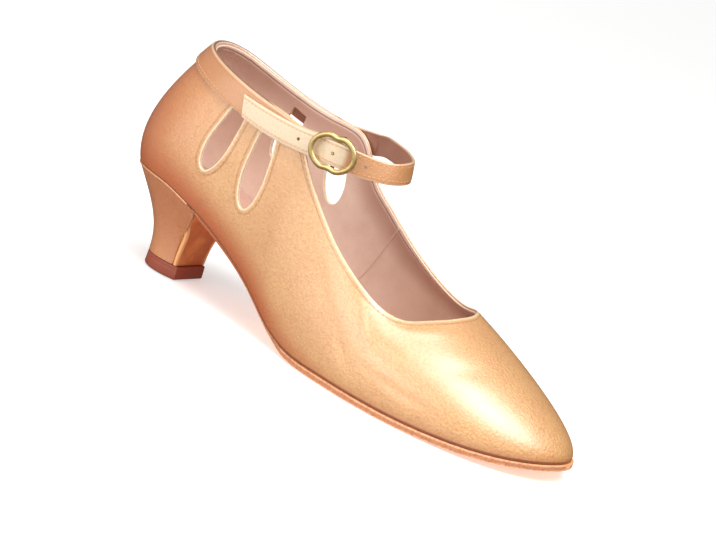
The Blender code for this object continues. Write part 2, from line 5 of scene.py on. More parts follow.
import bmesh
import bpy
import numpy as np
from mathutils import Matrix, Vector, kdtree


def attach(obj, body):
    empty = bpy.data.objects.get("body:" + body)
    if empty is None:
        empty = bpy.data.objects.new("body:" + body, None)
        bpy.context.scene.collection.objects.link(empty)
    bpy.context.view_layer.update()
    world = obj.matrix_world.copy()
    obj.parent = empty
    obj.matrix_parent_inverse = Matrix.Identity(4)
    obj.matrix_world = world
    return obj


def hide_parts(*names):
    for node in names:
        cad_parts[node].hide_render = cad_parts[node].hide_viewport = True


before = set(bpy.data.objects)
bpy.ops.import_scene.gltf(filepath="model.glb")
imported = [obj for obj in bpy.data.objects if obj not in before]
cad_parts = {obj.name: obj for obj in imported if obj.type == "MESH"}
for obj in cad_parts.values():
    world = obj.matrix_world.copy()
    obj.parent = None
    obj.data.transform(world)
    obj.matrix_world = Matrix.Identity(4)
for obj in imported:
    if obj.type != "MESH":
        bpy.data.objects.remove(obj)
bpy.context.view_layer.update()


# The studio is a plain pale floor under a soft white sky, with a weak sun and three broad
# lamps.  The camera keeps the photo's angle to the shoe, which is rolled because the shoe
# there has its heel propped up.
EYE = Vector((0.4665, -0.6803, 0.2255))
AIM = Vector((0.0900, 0.0000, 0.0400))
ROLL = math.radians(20.15)
LENS = 96.0
SKY_FROM = (-0.15, -0.58, 0.80)
GROUND = -0.0003


def shade(red, green, blue):
    """A screen colour, 0 to 255 a channel, as the linear values that a shader takes."""
    parts = [value / 255 for value in (red, green, blue)]
    return tuple(v / 12.92 if v <= 0.04045 else ((v + 0.055) / 1.055) ** 2.4 for v in parts)


class Wire:
    """A number that one shader node hands to the next."""

    def __init__(self, finish, socket):
        self.finish = finish
        self.socket = socket

    def math(self, operation, *values):
        return self.finish.node("ShaderNodeMath", {"operation": operation},
                                dict(enumerate(values)))

    def __add__(self, other):
        return self.math("ADD", self, other)

    def __sub__(self, other):
        return self.math("SUBTRACT", self, other)

    def __rsub__(self, other):
        return self.math("SUBTRACT", other, self)

    def __mul__(self, other):
        return self.math("MULTIPLY", self, other)

    __radd__ = __add__
    __rmul__ = __mul__

    def ramp(self, low, high):
        """0 below LOW, 1 above HIGH, smooth between."""
        return self.finish.node("ShaderNodeMapRange", {"interpolation_type": "SMOOTHSTEP"},
                                {"Value": self, "From Min": low, "From Max": high})


class Finish:
    """The shader of one material or of the sky; its sockets take numbers, colours or wires."""

    def __init__(self, name, kind="materials", shader="Principled BSDF", space="Object"):
        self.owner = getattr(bpy.data, kind).new(name)
        self.owner.use_nodes = True
        self.tree = self.owner.node_tree
        self.shader = self.tree.nodes[shader]
        self.spot = self.node("ShaderNodeTexCoord", {}, {}, space)
        self.colour = None

    def put(self, socket, value):
        """Set or link one socket."""
        if isinstance(value, Wire):
            self.tree.links.new(value.socket, socket)
        elif isinstance(value, tuple) and len(value) == 3 and socket.type == "RGBA":
            socket.default_value = value + (1.0,)
        else:
            socket.default_value = value

    def node(self, kind, settings, values, output=0):
        """Any node: its type, its settings, and the values or wires of its sockets."""
        made = self.tree.nodes.new(kind)
        for key, value in settings.items():
            setattr(made, key, value)
        for key, value in values.items():
            self.put(made.inputs[key], value)
        return Wire(self, made.outputs[output])

    def mix(self, share, first, second):
        """Colour FIRST turning to SECOND as SHARE goes from 0 to 1."""
        return self.node("ShaderNodeMix", {"data_type": "RGBA"},
                         {0: share, 6: first, 7: second}, 2)

    def along(self, axis):
        """The place on the piece along one axis, in metres."""
        return self.node("ShaderNodeSeparateXYZ", {}, {"Vector": self.spot}, axis)

    def noise(self, scale, detail=2.0, rough=0.5):
        return self.node("ShaderNodeTexNoise", {},
                         {"Vector": self.spot, "Scale": scale, "Detail": detail,
                          "Roughness": rough}, "Fac")

    def cells(self, scale):
        return self.node("ShaderNodeTexVoronoi", {"feature": "SMOOTH_F1"},
                         {"Vector": self.spot, "Scale": scale}, "Distance")

    def kept(self, name):
        """A value kept on the mesh."""
        return self.node("ShaderNodeAttribute", {"attribute_name": name}, {}, "Fac")

    def bump(self, height, distance, strength=1.0):
        """Feed HEIGHT, 0 to 1, to the surface as relief DISTANCE metres deep."""
        return self.node("ShaderNodeBump", {},
                         {"Height": height, "Distance": distance, "Strength": strength}, "Normal")

    def set(self, **values):
        """Set or link the shader's own sockets, by names with _ for a space."""
        for key, value in values.items():
            self.put(self.shader.inputs[key.replace("_", " ")], value)
        self.colour = values.get("Base_Color", self.colour)
        return self


def lamp(name, spot, aim, size, power, tint):
    """A square soft light at SPOT, turned to AIM."""
    light = bpy.data.lights.new(name, "AREA")
    light.size = size
    light.energy = power
    light.color = tint
    holder = bpy.data.objects.new(name, light)
    holder.location = spot
    holder.rotation_euler = (Vector(aim) - Vector(spot)).to_track_quat("-Z", "Y").to_euler()
    bpy.context.scene.collection.objects.link(holder)


camera = bpy.data.objects.new("camera", bpy.data.cameras.new("camera"))
camera.data.lens = LENS
camera.data.sensor_width = 36.0
camera.data.clip_start = 0.01
turned = (AIM - EYE).to_track_quat("-Z", "Y").to_matrix().to_4x4()
camera.matrix_world = Matrix.Translation(EYE) @ turned @ Matrix.Rotation(ROLL, 4, "Z")
bpy.context.scene.collection.objects.link(camera)
bpy.context.scene.camera = camera
bpy.context.scene.view_settings.view_transform = "Standard"

sky = Finish("sky", "worlds", "Background", "Generated")
toward = sky.node("ShaderNodeVectorMath", {"operation": "DOT_PRODUCT"},
                  {0: sky.spot, 1: SKY_FROM}, "Value")
bright = sky.node("ShaderNodeMapRange", {}, {"Value": toward, "From Min": -0.42,
                                             "From Max": 0.55, "To Min": 0.05, "To Max": 0.57})
sky.set(Color=(1.0, 0.995, 0.985), Strength=bright)
bpy.context.scene.world = sky.owner
lamp("key", (0.47, -0.15, 0.66), (0.17, -0.01, 0.03), 0.46, 3.8, (0.95, 0.975, 1.0))
lamp("side", (-0.10, -0.80, 0.42), (0.08, 0.0, 0.04), 0.40, 1.75, (1.0, 0.99, 0.98))
lamp("low", (-0.42, -0.64, 0.13), (0.08, 0.0, 0.03), 0.46, 0.8, (1.0, 0.99, 0.98))
sun = bpy.data.lights.new("sun", "SUN")
sun.energy = 1.6
sun.angle = math.radians(40)
sun_holder = bpy.data.objects.new("sun", sun)
sun_holder.rotation_euler = (math.radians(16), math.radians(6), 0.0)
bpy.context.scene.collection.objects.link(sun_holder)

floor_mesh = bmesh.new()
bmesh.ops.create_grid(floor_mesh, x_segments=1, y_segments=1, size=30.0,
                      matrix=Matrix.Translation((0.0, 0.0, GROUND)))
floor = bpy.data.objects.new("floor", bpy.data.meshes.new("floor"))
floor_mesh.to_mesh(floor.data)
floor_mesh.free()
bpy.context.scene.collection.objects.link(floor)
pale_floor = Finish("pale_floor")
pale_floor.set(Base_Color=(0.95, 0.95, 0.945), Roughness=0.24, Emission_Color=(1.0, 1.0, 1.0),
               Emission_Strength=0.42)
floor.data.materials.append(pale_floor.owner)
floor.visible_glossy = False


# The upper is one piece of gold-tan metallic leather, lasted over a court-shoe last, with four
# teardrop openings in its quarters.  Its wall comes from the same sizes and tables as the
# solid: a feather edge, a top line, and how full the leather is between them.
LENGTH = 0.240
BACK = -0.0315
HALF_BALL = 0.040
SEAT = 0.043
COLLAR = 0.1035
WALL = 0.0016
GAP = 0.0003
DROP_HALF = 0.0060
LEATHER = 0.0008
UPPER_TAN = shade(219, 166, 104)
UPPER_DEEP = shade(194, 124, 68)
# Painted shade colour for the upper and strap; also the colour of stitch lines and of the rand's
# darker grain.
SHADE_AND_LINE_ORANGE = shade(190, 90, 12)
FEATHER_GROOVE_SHADE = shade(140, 66, 24)
# Dark brown of stitch lines, and of the painted shade in the gap at the collar's crest.
SEAM_AND_GAP_SHADE = shade(112, 56, 26)
EDGE_WEAR_AND_HIGHLIGHT = shade(248, 222, 180)
INNER_SEAM = (22.32, 1.72)
SEAM_STEP = 0.00035

BED = (
    (0.000, 0.985), (0.045, 1.000), (0.090, 0.995), (0.140, 0.965), (0.180, 0.905),
    (0.220, 0.830), (0.255, 0.750), (0.290, 0.660), (0.340, 0.520), (0.390, 0.350),
    (0.428, 0.218), (0.470, 0.118), (0.505, 0.076), (0.560, 0.065), (0.700, 0.065),
    (0.760, 0.066), (0.800, 0.073), (0.840, 0.084), (0.880, 0.100), (0.925, 0.127),
    (0.960, 0.158), (0.998, 0.200),
)
SLICES = (
    # along   side    top_along  top_side  top_height
    (0.010, 0.000, 0.087, 0.000, 1.000),
    (0.036, -0.390, 0.104, -0.315, 0.986),
    (0.098, -0.605, 0.151, -0.515, 0.961),
    (0.184, -0.640, 0.210, -0.630, 0.936),
    (0.272, -0.615, 0.290, -0.685, 0.905),
    (0.350, -0.630, 0.366, -0.705, 0.870),
    (0.408, -0.675, 0.402, -0.705, 0.769),
    (0.465, -0.738, 0.455, -0.710, 0.632),
    (0.528, -0.818, 0.515, -0.710, 0.510),
    (0.600, -0.895, 0.576, -0.700, 0.422),
    (0.682, -0.935, 0.632, -0.645, 0.362),
    (0.765, -0.895, 0.673, -0.540, 0.350),
    (0.846, -0.785, 0.700, -0.395, 0.374),
    (0.914, -0.600, 0.720, -0.240, 0.396),
    (0.970, -0.310, 0.732, -0.065, 0.413),
    (0.994, 0.070, 0.736, 0.105, 0.423),
    (0.969, 0.430, 0.730, 0.265, 0.430),
    (0.910, 0.690, 0.714, 0.400, 0.424),
    (0.838, 0.865, 0.692, 0.508, 0.410),
    (0.758, 0.970, 0.657, 0.605, 0.408),
    (0.678, 1.015, 0.607, 0.665, 0.438),
    (0.598, 0.990, 0.556, 0.695, 0.487),
    (0.530, 0.885, 0.510, 0.705, 0.544),
    (0.470, 0.750, 0.464, 0.705, 0.614),
    (0.410, 0.640, 0.412, 0.700, 0.706),
    (0.348, 0.575, 0.364, 0.695, 0.840),
    (0.272, 0.565, 0.290, 0.675, 0.866),
    (0.181, 0.620, 0.210, 0.620, 0.895),
    (0.098, 0.605, 0.151, 0.505, 0.936),
    (0.036, 0.390, 0.104, 0.315, 0.980),
)
FULLNESS = (
    # slice  low_out  low_up  high_out  high_up
    (0.0, 0.190, 0.430, 0.390, -0.560),
    (1.5, 0.170, 0.430, 0.260, -0.520),
    (3.0, 0.160, 0.430, 0.075, -0.480),
    (5.0, 0.170, 0.350, 0.060, -0.450),
    (7.0, 0.130, 0.300, 0.100, -0.420),
    (8.5, 0.105, 0.300, 0.130, -0.320),
    (10.0, 0.080, 0.290, 0.200, -0.190),
    (12.0, 0.065, 0.290, 0.380, -0.150),
    (13.5, 0.055, 0.280, 0.500, -0.210),
    (15.0, 0.050, 0.270, 0.560, -0.260),
    (16.5, 0.055, 0.280, 0.500, -0.230),
    (18.0, 0.060, 0.300, 0.370, -0.190),
    (20.0, 0.080, 0.300, 0.190, -0.220),
    (21.5, 0.100, 0.300, 0.130, -0.320),
    (23.0, 0.130, 0.320, 0.100, -0.420),
    (25.0, 0.170, 0.380, 0.060, -0.450),
    (27.0, 0.160, 0.430, 0.075, -0.480),
    (28.5, 0.170, 0.430, 0.260, -0.520),
)
DROPS = (
    # side  foot_along  foot_height  head_along  head_height  half_width  widest_at
    (-1, 0.209, 0.536, 0.245, 0.850, 0.94, 0.40),
    (-1, 0.315, 0.464, 0.318, 0.820, 1.00, 0.42),
    (1, 0.190, 0.580, 0.222, 0.825, 0.90, 0.42),
    (1, 0.344, 0.515, 0.314, 0.800, 0.94, 0.42),
)
# Soft hollows and swellings of the worn-in vamp: middle and half size round the shoe in
# slices, middle and half size up the wall, slant, and depth in metres.
HOLLOWS = (
    # slice  reach  height  tall   slant  depth
    (12.90, 1.30, 0.625, 0.055, 0.04, -0.00032),
    (10.50, 0.40, 0.63, 0.060, 0.00, -0.00034),
    (11.70, 1.30, 0.875, 0.050, 0.01, 0.00036),
    (9.70, 0.26, 0.67, 0.080, -0.43, 0.00036),
    (10.85, 0.80, 0.28, 0.060, -0.07, -0.00036),
    (9.25, 0.35, 0.38, 0.080, -0.36, -0.00038),
    (8.20, 0.40, 0.66, 0.110, -0.20, -0.00034),
    (19.80, 0.45, 0.74, 0.060, -0.10, -0.00028),
    (19.10, 0.40, 0.56, 0.055, -0.12, -0.00024),
    (3.60, 0.35, 0.42, 0.090, 0.00, -0.00025),
    (5.60, 0.30, 0.40, 0.120, 0.00, -0.00022),
)


def unit(v):
    """V with every vector brought to length one."""
    return v / np.maximum(np.linalg.norm(v, axis=-1, keepdims=True), 1e-12)


def spline(rows, at, period=None):
    """Values at AT of the smooth curve through ROWS, closed if it has a PERIOD."""
    rows = np.array(rows, float)
    at = np.atleast_1d(np.asarray(at, float))
    if period:
        at = np.mod(at, period)
        before, after = rows[-5:].copy(), rows[:5].copy()
        before[:, 0] -= period
        after[:, 0] += period
        rows = np.vstack([before, rows, after])
    knot, value = rows[:, 0], rows[:, 1:]
    step = np.diff(knot)[:, None]
    slope = np.diff(value, axis=0) / step
    count = len(knot)
    matrix = np.zeros((count, count))
    right = np.zeros((count, value.shape[1]))
    matrix[0, :2] = (2.0, 1.0)
    right[0] = 3.0 * slope[0]
    matrix[-1, -2:] = (1.0, 2.0)
    right[-1] = 3.0 * slope[-1]
    for i in range(1, count - 1):
        before, after = step[i - 1, 0], step[i, 0]
        matrix[i, i - 1:i + 2] = (after, 2.0 * (before + after), before)
        right[i] = 3.0 * (after * slope[i - 1] + before * slope[i])
    tangent = np.linalg.solve(matrix, right)
    i = np.clip(np.searchsorted(knot, at, side="right") - 1, 0, count - 2)
    wide = step[i]
    t = (at - knot[i])[:, None] / wide
    return ((1 + 2 * t) * (1 - t) ** 2 * value[i] + t * (1 - t) ** 2 * wide * tangent[i]
            + t * t * (3 - 2 * t) * value[i + 1] - t * t * (1 - t) * wide * tangent[i + 1])


def bezier(t, a, b, c, d):
    """The cubic curve from A to D with handles B and C, at T."""
    return ((1 - t) ** 3 * a + 3 * t * (1 - t) ** 2 * b
            + 3 * t * t * (1 - t) * c + t ** 3 * d)


def place(along, side, height):
    """A point from its shares of LENGTH from BACK, of HALF_BALL and of COLLAR."""
    return np.array([BACK + LENGTH * along, HALF_BALL * side, COLLAR * height])


def bed(x):
    """Height of the underside of the upper at X."""
    return SEAT * spline(BED, (np.asarray(x, float) - BACK) / LENGTH)[:, 0]


def slices(u):
    """Feather edge and top line at the slice numbers U."""
    rows = [(i,) + row for i, row in enumerate(SLICES)]
    s = spline(rows, u, len(SLICES))
    x = BACK + LENGTH * s[:, 0]
    low = np.stack([x, HALF_BALL * s[:, 1], bed(x)], 1)
    high = np.stack([BACK + LENGTH * s[:, 2], HALF_BALL * s[:, 3], COLLAR * s[:, 4]], 1)
    return low, high


def outward(u):
    """Level directions square to the feather edge at the slice numbers U."""
    a, b = slices(u + 0.02)[0], slices(u - 0.02)[0]
    run = unit((a - b)[:, :2])
    return np.stack([run[:, 1], -run[:, 0], np.zeros(len(run))], 1)


def wall(u, v):
    """The outside of the upper: one row of points for each slice U, from V = 0 to 1."""
    u = np.asarray(u, float)
    low, high = slices(u)
    full = HALF_BALL * spline(FULLNESS, u, len(SLICES))
    out = outward(u)
    level = high - low
    level[:, 2] = 0.0
    away = unit(0.3 * HALF_BALL * out - level)
    up = np.array([0.0, 0.0, 1.0])
    c1 = low + out * full[:, 0:1] + up * full[:, 1:2]
    c2 = high + away * full[:, 2:3] + up * full[:, 3:4]
    t = np.asarray(v, float)[None, :, None]
    return bezier(t, *[q[:, None, :] for q in (low, c1, c2, high)])


def wall_normals(u, v):
    """Outward directions square to the wall at the same points."""
    u = np.asarray(u, float)
    v = np.asarray(v, float)
    along = wall(u + 0.02, v) - wall(u - 0.02, v)
    lift = wall(u, np.minimum(v + 0.01, 1.0)) - wall(u, np.maximum(v - 0.01, 0.0))
    n = unit(np.cross(lift, along))
    return n * np.sign(np.sum(n * outward(u)[:, None, :], axis=2)[:, :, None]
                       + 2.0 * n[:, :, 2:3])


def hollows(u, v):
    """How far the leather lies above or below the plain wall at U and V."""
    past = (INNER_SEAM[0] + INNER_SEAM[1] * (1.0 - v[None, :])) - u[:, None]
    give = SEAM_STEP * np.clip(past / 0.04, 0.0, 1.0) * np.clip(1.0 - past / 2.0, 0.0, 1.0)
    for middle, reach, height, tall, slant, depth in HOLLOWS:
        off = u[:, None] - middle
        up = v[None, :] - height - slant * off
        give += depth * np.exp(-(off / reach) ** 2 - (up / tall) ** 2)
    return give


def down_wall(u, drop):
    """Points on the wall a distance DROP below the top line, and the directions out there."""
    v = np.linspace(0.3, 1.0, 71)
    points = wall(u, v)
    normals = wall_normals(u, v)
    spot, out = [], []
    for p, n, d in zip(points, normals, np.broadcast_to(drop, (len(u),))):
        gone = np.linalg.norm(np.diff(p, axis=0), axis=1)[::-1]
        gone = np.concatenate([[0.0], np.cumsum(gone)])
        spot.append([np.interp(d, gone, p[::-1, k]) for k in range(3)])
        out.append([np.interp(d, gone, n[::-1, k]) for k in range(3)])
    return np.array(spot), unit(np.array(out))


def skin(name, points, ring=False, marks=None):
    """A mesh through a table of POINTS whose rows are loops, and whose columns too if RING."""
    marks = marks or {}
    table = np.concatenate([points, points[:, :1]], axis=1)
    if ring:
        table = np.concatenate([table, table[:1]], axis=0)
    down, across = table.shape[0] - 1, table.shape[1] - 1
    work = bmesh.new()
    layers = {key: work.verts.layers.float.new(key) for key in marks}
    bmesh.ops.create_grid(work, x_segments=down, y_segments=across, size=1.0)
    for corner in work.verts:
        i = round((corner.co.x + 1.0) / 2.0 * down)
        j = round((corner.co.y + 1.0) / 2.0 * across)
        corner.co = table[i, j]
        for key, layer in layers.items():
            corner[layer] = marks[key][i % len(points), j % across]
    bmesh.ops.remove_doubles(work, verts=work.verts, dist=1e-7)
    bmesh.ops.holes_fill(work, edges=[edge for edge in work.edges if edge.is_boundary], sides=0)
    bmesh.ops.recalc_face_normals(work, faces=work.faces)
    return finished(name, work)


def finished(name, work):
    """An object in the scene from the mesh in WORK, shaded smooth."""
    mesh = bpy.data.meshes.new(name)
    work.to_mesh(mesh)
    work.free()
    mesh.shade_smooth()
    mesh.set_sharp_from_angle(angle=math.radians(40))
    thing = bpy.data.objects.new(name, mesh)
    bpy.context.scene.collection.objects.link(thing)
    return thing


def applied(thing):
    """THING with its modifiers worked into its mesh."""
    graph = bpy.context.evaluated_depsgraph_get()
    mesh = bpy.data.meshes.new_from_object(thing.evaluated_get(graph))
    thing.modifiers.clear()
    thing.data = mesh
    mesh.set_sharp_from_angle(angle=math.radians(40))
    return thing


def carved(thing, cutters):
    """THING with the CUTTERS taken out of it."""
    for cutter in cutters:
        change = thing.modifiers.new(cutter.name, "BOOLEAN")
        change.operation = "DIFFERENCE"
        change.solver = "EXACT"
        change.object = cutter
    applied(thing)
    for cutter in cutters:
        bpy.data.objects.remove(cutter)
    return thing


def drop_outline(foot, head, half, widest, count=34):
    """Points round one teardrop, round at its foot and broad at its head."""
    t = 1.0 - np.cos(np.linspace(0.0, np.pi / 2, count))
    round_foot = np.sqrt(np.maximum(1 - (1 - t / widest) ** 2, 0.0))
    narrowing = 1 - 0.32 * np.maximum((t - widest) / (1 - widest), 0.0) ** 1.6
    reach = half * np.where(t < widest, round_foot, narrowing)
    axis = unit(head - foot)
    square = np.array([axis[1], -axis[0]])
    spine = foot + (head - foot) * t[:, None]
    left, right = spine + square * reach[:, None], spine - square * reach[:, None]
    return np.vstack([left[::-1], right[1:]])


def drop_line(row, grow=0.0):
    """One teardrop's outline from its head round its foot and back, in side view."""
    side, foot, low, head, high, wide, widest = row
    foot, head = place(foot, 0.0, low)[[0, 2]], place(head, 0.0, high)[[0, 2]]
    away = unit(head - foot) * grow
    return drop_outline(foot - away, head + away, DROP_HALF * wide + grow, widest)


def drop_cutters():
    """The four prisms that cut the teardrops."""
    cutters = []
    for i, row in enumerate(DROPS):
        ring = drop_line(row)
        depths = (0.45 * HALF_BALL, 1.15 * HALF_BALL)
        table = np.array([[(x, row[0] * y, z) for x, z in ring] for y in depths])
        cutters.append(skin("drop_%d" % (i + 1), table))
    return cutters


def shell(name, outer, inner, top, columns=600, rows=46):
    """A closed layer of the upper between two depths below its surface, round at its TOP."""
    u = np.linspace(0.0, len(SLICES), columns + 1)[:-1]
    v = top * np.linspace(0.0, 1.0, rows) ** 0.92
    surface = wall(u, v)
    square = np.clip(v * 6.0, 0.0, 1.0)[None, :, None]
    normals = wall_normals(u, v)
    inward = unit(outward(u)[:, None, :] * (1 - square) + normals * square)
    give = hollows(u, v)[:, :, None]
    outside = surface + inward * (give - outer)
    inside = surface + inward * (give - inner)
    rise = unit(surface[:, -1] - surface[:, -2])
    half = (inner - outer) / 2
    turn = np.linspace(0.0, np.pi, 7)[None, 1:-1, None]
    middle = (outside[:, -1] + inside[:, -1])[:, None, :] / 2
    crest = middle + half * (np.cos(turn) * normals[:, -1][:, None, :]
                             + np.sin(turn) * rise[:, None, :])
    table = np.concatenate([outside, crest, inside[:, ::-1]], axis=1)
    return skin(name, table, ring=True)


def on_wall(side, line):
    """The points of the wall that lie at LINE in side view, and the directions out there."""
    count = len(SLICES)
    u = np.linspace(0.5, 8.0, 300)
    if side > 0:
        u = count - u
    v = np.linspace(0.12, 1.0, 170)
    points, normals = wall(u, v), wall_normals(u, v)
    flat = points[:, :, [0, 2]].reshape(-1, 2)
    tree = kdtree.KDTree(len(flat))
    for i, (x, z) in enumerate(flat):
        tree.insert((x, 0.0, z), i)
    tree.balance()
    spots, outs = [], []
    for x, z in line:
        near = tree.find((x, 0.0, z))[1]
        i, j = divmod(near, len(v))
        i, j = min(max(i, 1), len(u) - 2), min(max(j, 1), len(v) - 2)
        across = (points[i + 1, j] - points[i - 1, j]) / 2
        rise = (points[i, j + 1] - points[i, j - 1]) / 2
        matrix = np.array([[across[0], rise[0]], [across[2], rise[2]]])
        off = np.array([x, z]) - points[i, j][[0, 2]]
        a, b = np.linalg.solve(matrix, off)
        spots.append(points[i, j] + a * across + b * rise)
        outs.append(normals[i, j])
    return np.array(spots), np.array(outs)


def mark_distance(thing, name, spots, furthest=0.02):
    """Keep each point's distance to the nearest of SPOTS on the mesh, for its finish."""
    tree = kdtree.KDTree(len(spots))
    for i, spot in enumerate(spots):
        tree.insert(spot, i)
    tree.balance()
    far = [min(tree.find(v.co)[2], furthest) for v in thing.data.vertices]
    thing.data.attributes.new(name, "FLOAT", "POINT").data.foreach_set("value", far)


def dress(thing, finish, slot, *nodes):
    """Give THING its finish, let it ride on the shoe, and hide the solids it stands for."""
    thing.data.materials.clear()
    thing.data.materials.append(finish.owner)
    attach(thing, "root")
    if nodes:
        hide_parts(*nodes)
    return thing


def grained_leather(name, tan, deep, lasted=False, relief=0.00048):
    """Pearly tan leather with a fine pebble grain; if LASTED, it has painted shade low down and at
    the back, a painted shadow in the feather groove, pale edges (wear and painted highlight) and a
    stitch line.
    """
    finish = Finish(name)
    pebble = finish.cells(950.0)
    fine = finish.noise(1400.0, 3.0, 0.6)
    cloud = finish.noise(30.0, 3.0, 0.55)
    patch = finish.noise(110.0, 2.0, 0.5)
    colour = finish.mix(cloud.ramp(0.36, 0.74) * 0.30 + patch.ramp(0.35, 0.75) * 0.12, tan, deep)
    grain = pebble.ramp(0.28, 0.66) * 0.30 + fine.ramp(0.46, 0.70) * 0.42
    colour = finish.mix(grain, colour, deep)
    height = (1.0 - pebble) * 0.70 + (1.0 - fine) * 0.70
    if lasted:
        rim = finish.kept("rim")
        low = finish.kept("low")
        where = finish.along("X")
        back = 1.0 - where.ramp(0.060, 0.120)
        # Painted shade: darker orange near the feather edge, reaching higher and stronger towards
        # the back, and over the counter towards the heel.
        feather_shade = (1.0 - low.ramp(0.0010, 0.005 + back * 0.013)) * (0.26 + back * 0.74)
        counter_shade = (1.0 - where.ramp(-0.036, 0.032)) * 0.95
        colour = finish.mix(feather_shade + counter_shade * (1.0 - feather_shade), colour, SHADE_AND_LINE_ORANGE)
        # Painted shadow in the groove where the upper meets the sole.
        colour = finish.mix(1.0 - low.ramp(0.0006, 0.0014), colour, FEATHER_GROOVE_SHADE)
        # Pale edges at the openings and top line: partly edge wear, partly painted highlight.
        colour = finish.mix((1.0 - rim.ramp(0.0005, 0.0011)) * 0.55, colour, EDGE_WEAR_AND_HIGHLIGHT)
        line = rim.ramp(0.0016, 0.0020) - rim.ramp(0.0020, 0.0025)
        colour = finish.mix(line * 0.30, colour, SHADE_AND_LINE_ORANGE)
        height = height - line * 0.8
    finish.set(Base_Color=colour, Metallic=0.20, Roughness=0.36 + fine * 0.14, Coat_Weight=0.9,
               Coat_Roughness=0.36, Coat_IOR=2.00, Normal=finish.bump(height, relief))
    return finish


upper = shell("upper_leather", 0.0, LEATHER, 1.0)
carved(upper, drop_cutters())
openings = [on_wall(row[0], drop_line(row))[0] for row in DROPS]
feather_edge, top_line = slices(np.linspace(0.0, len(SLICES), 1500))
mark_distance(upper, "rim", np.vstack(openings + [top_line]))
mark_distance(upper, "low", feather_edge, 0.03)
upper_leather = grained_leather("gold_tan_leather", UPPER_TAN, UPPER_DEEP, True)
dress(upper, upper_leather, "upper", "upper")


# The lining is soft mauve-brown leather glued inside the upper, with its edge rolled beside
# the upper's at the top line and stitched through, and one slanting seam on the inner side.
LINING = shade(242, 214, 196)
LINING_DARK = shade(206, 166, 146)
LINING_RIM_SHADE = shade(168, 112, 90)
LINING_SEAM = shade(236, 200, 180)


def napped_leather(name, light, dark, edged=False):
    """Matt leather with a short nap; if EDGED, it has a stitch line and a band of painted shade
    along its edge.
    """
    finish = Finish(name)
    nap = finish.noise(1900.0, 4.0, 0.65)
    cloud = finish.noise(46.0, 3.0, 0.6)
    colour = finish.mix(cloud.ramp(0.35, 0.68) * 0.35 + nap.ramp(0.4, 0.75) * 0.20, light, dark)
    height = nap
    if edged:
        rim = finish.kept("rim")
        # Painted shade in a band along the edge.
        beside = rim.ramp(0.0022, 0.0036) - rim.ramp(0.0040, 0.0160)
        colour = finish.mix(beside * 0.62, colour, LINING_RIM_SHADE)
        line = rim.ramp(0.0020, 0.0024) - rim.ramp(0.0024, 0.0029)
        colour = finish.mix(line * 0.75, colour, SEAM_AND_GAP_SHADE)
        height = nap - line * 1.5
    finish.set(Base_Color=colour, Roughness=0.72 + nap * 0.2,
               Normal=finish.bump(height, 0.00012, 0.8))
    return finish


lining = shell("lining", LEATHER + 0.00005, WALL, 0.994, 480, 40)
carved(lining, drop_cutters())
mark_distance(lining, "rim", top_line)
lining_leather = napped_leather("mauve_lining", LINING, LINING_DARK, True)
dress(lining, lining_leather, "insole")


# Every teardrop is edged by a fine pale piping, let in between the upper and the lining, and
# the lining's slanting seam stands up inside as a thin ridge.
PIPING = 0.00042
RIDGE = 0.00026
SUNK = 0.00012
RIDGE_SUNK = 0.00004
PIPING_DEEP = shade(238, 200, 150)


def rod(name, path, radius, across, sides=10):
    """A round bar along PATH; ACROSS is one direction, or one for each point."""
    run = unit(np.gradient(path, axis=0))
    one = unit(np.cross(run, np.broadcast_to(across, path.shape)))
    two = np.cross(run, one)
    turn = 2 * np.pi * np.arange(sides) / sides
    table = path[:, None, :] + radius * (np.cos(turn)[None, :, None] * one[:, None, :]
                                         + np.sin(turn)[None, :, None] * two[:, None, :])
    return skin(name, table)


# The piping's pale colour partly paints the highlight that a turned edge catches.
edge_leather = grained_leather("pale_piping", EDGE_WEAR_AND_HIGHLIGHT, PIPING_DEEP)
for i, row in enumerate(DROPS):
    spots, outs = on_wall(row[0], drop_line(row, 0.0001)[2:-2])
    piping = rod("opening_piping_%d" % (i + 1), spots - outs * SUNK, PIPING, outs)
    dress(piping, edge_leather, "upper")
seam_v = np.linspace(0.975, 0.06, 60)
seam_u = INNER_SEAM[0] + INNER_SEAM[1] * (1.0 - seam_v)
seam_path = np.array([wall([a], [b])[0, 0] for a, b in zip(seam_u, seam_v)])
seam_out = np.array([wall_normals([a], [b])[0, 0] for a, b in zip(seam_u, seam_v)])
ridge = rod("lining_seam", seam_path - seam_out * (WALL - RIDGE_SUNK), RIDGE, seam_out)
dress(ridge, napped_leather("pale_seam", LINING_SEAM, LINING), "insole")


# The stitching is fine tan thread: round the teardrops, below the throat's folded edge, and
# along the collar band's lower seam.
THREAD = shade(214, 164, 108)
THREAD_DARK = shade(170, 112, 60)
STITCH = 0.0017
STITCH_PITCH = 0.0024
THREAD_ROUND = 0.00021
ROUND_OPENING = 0.0020
BELOW_THROAT = 0.0021
THROAT_ENDS = (5.25, 25.1)
BESIDE_SEAM = (0.0016, 0.0, 0.0)


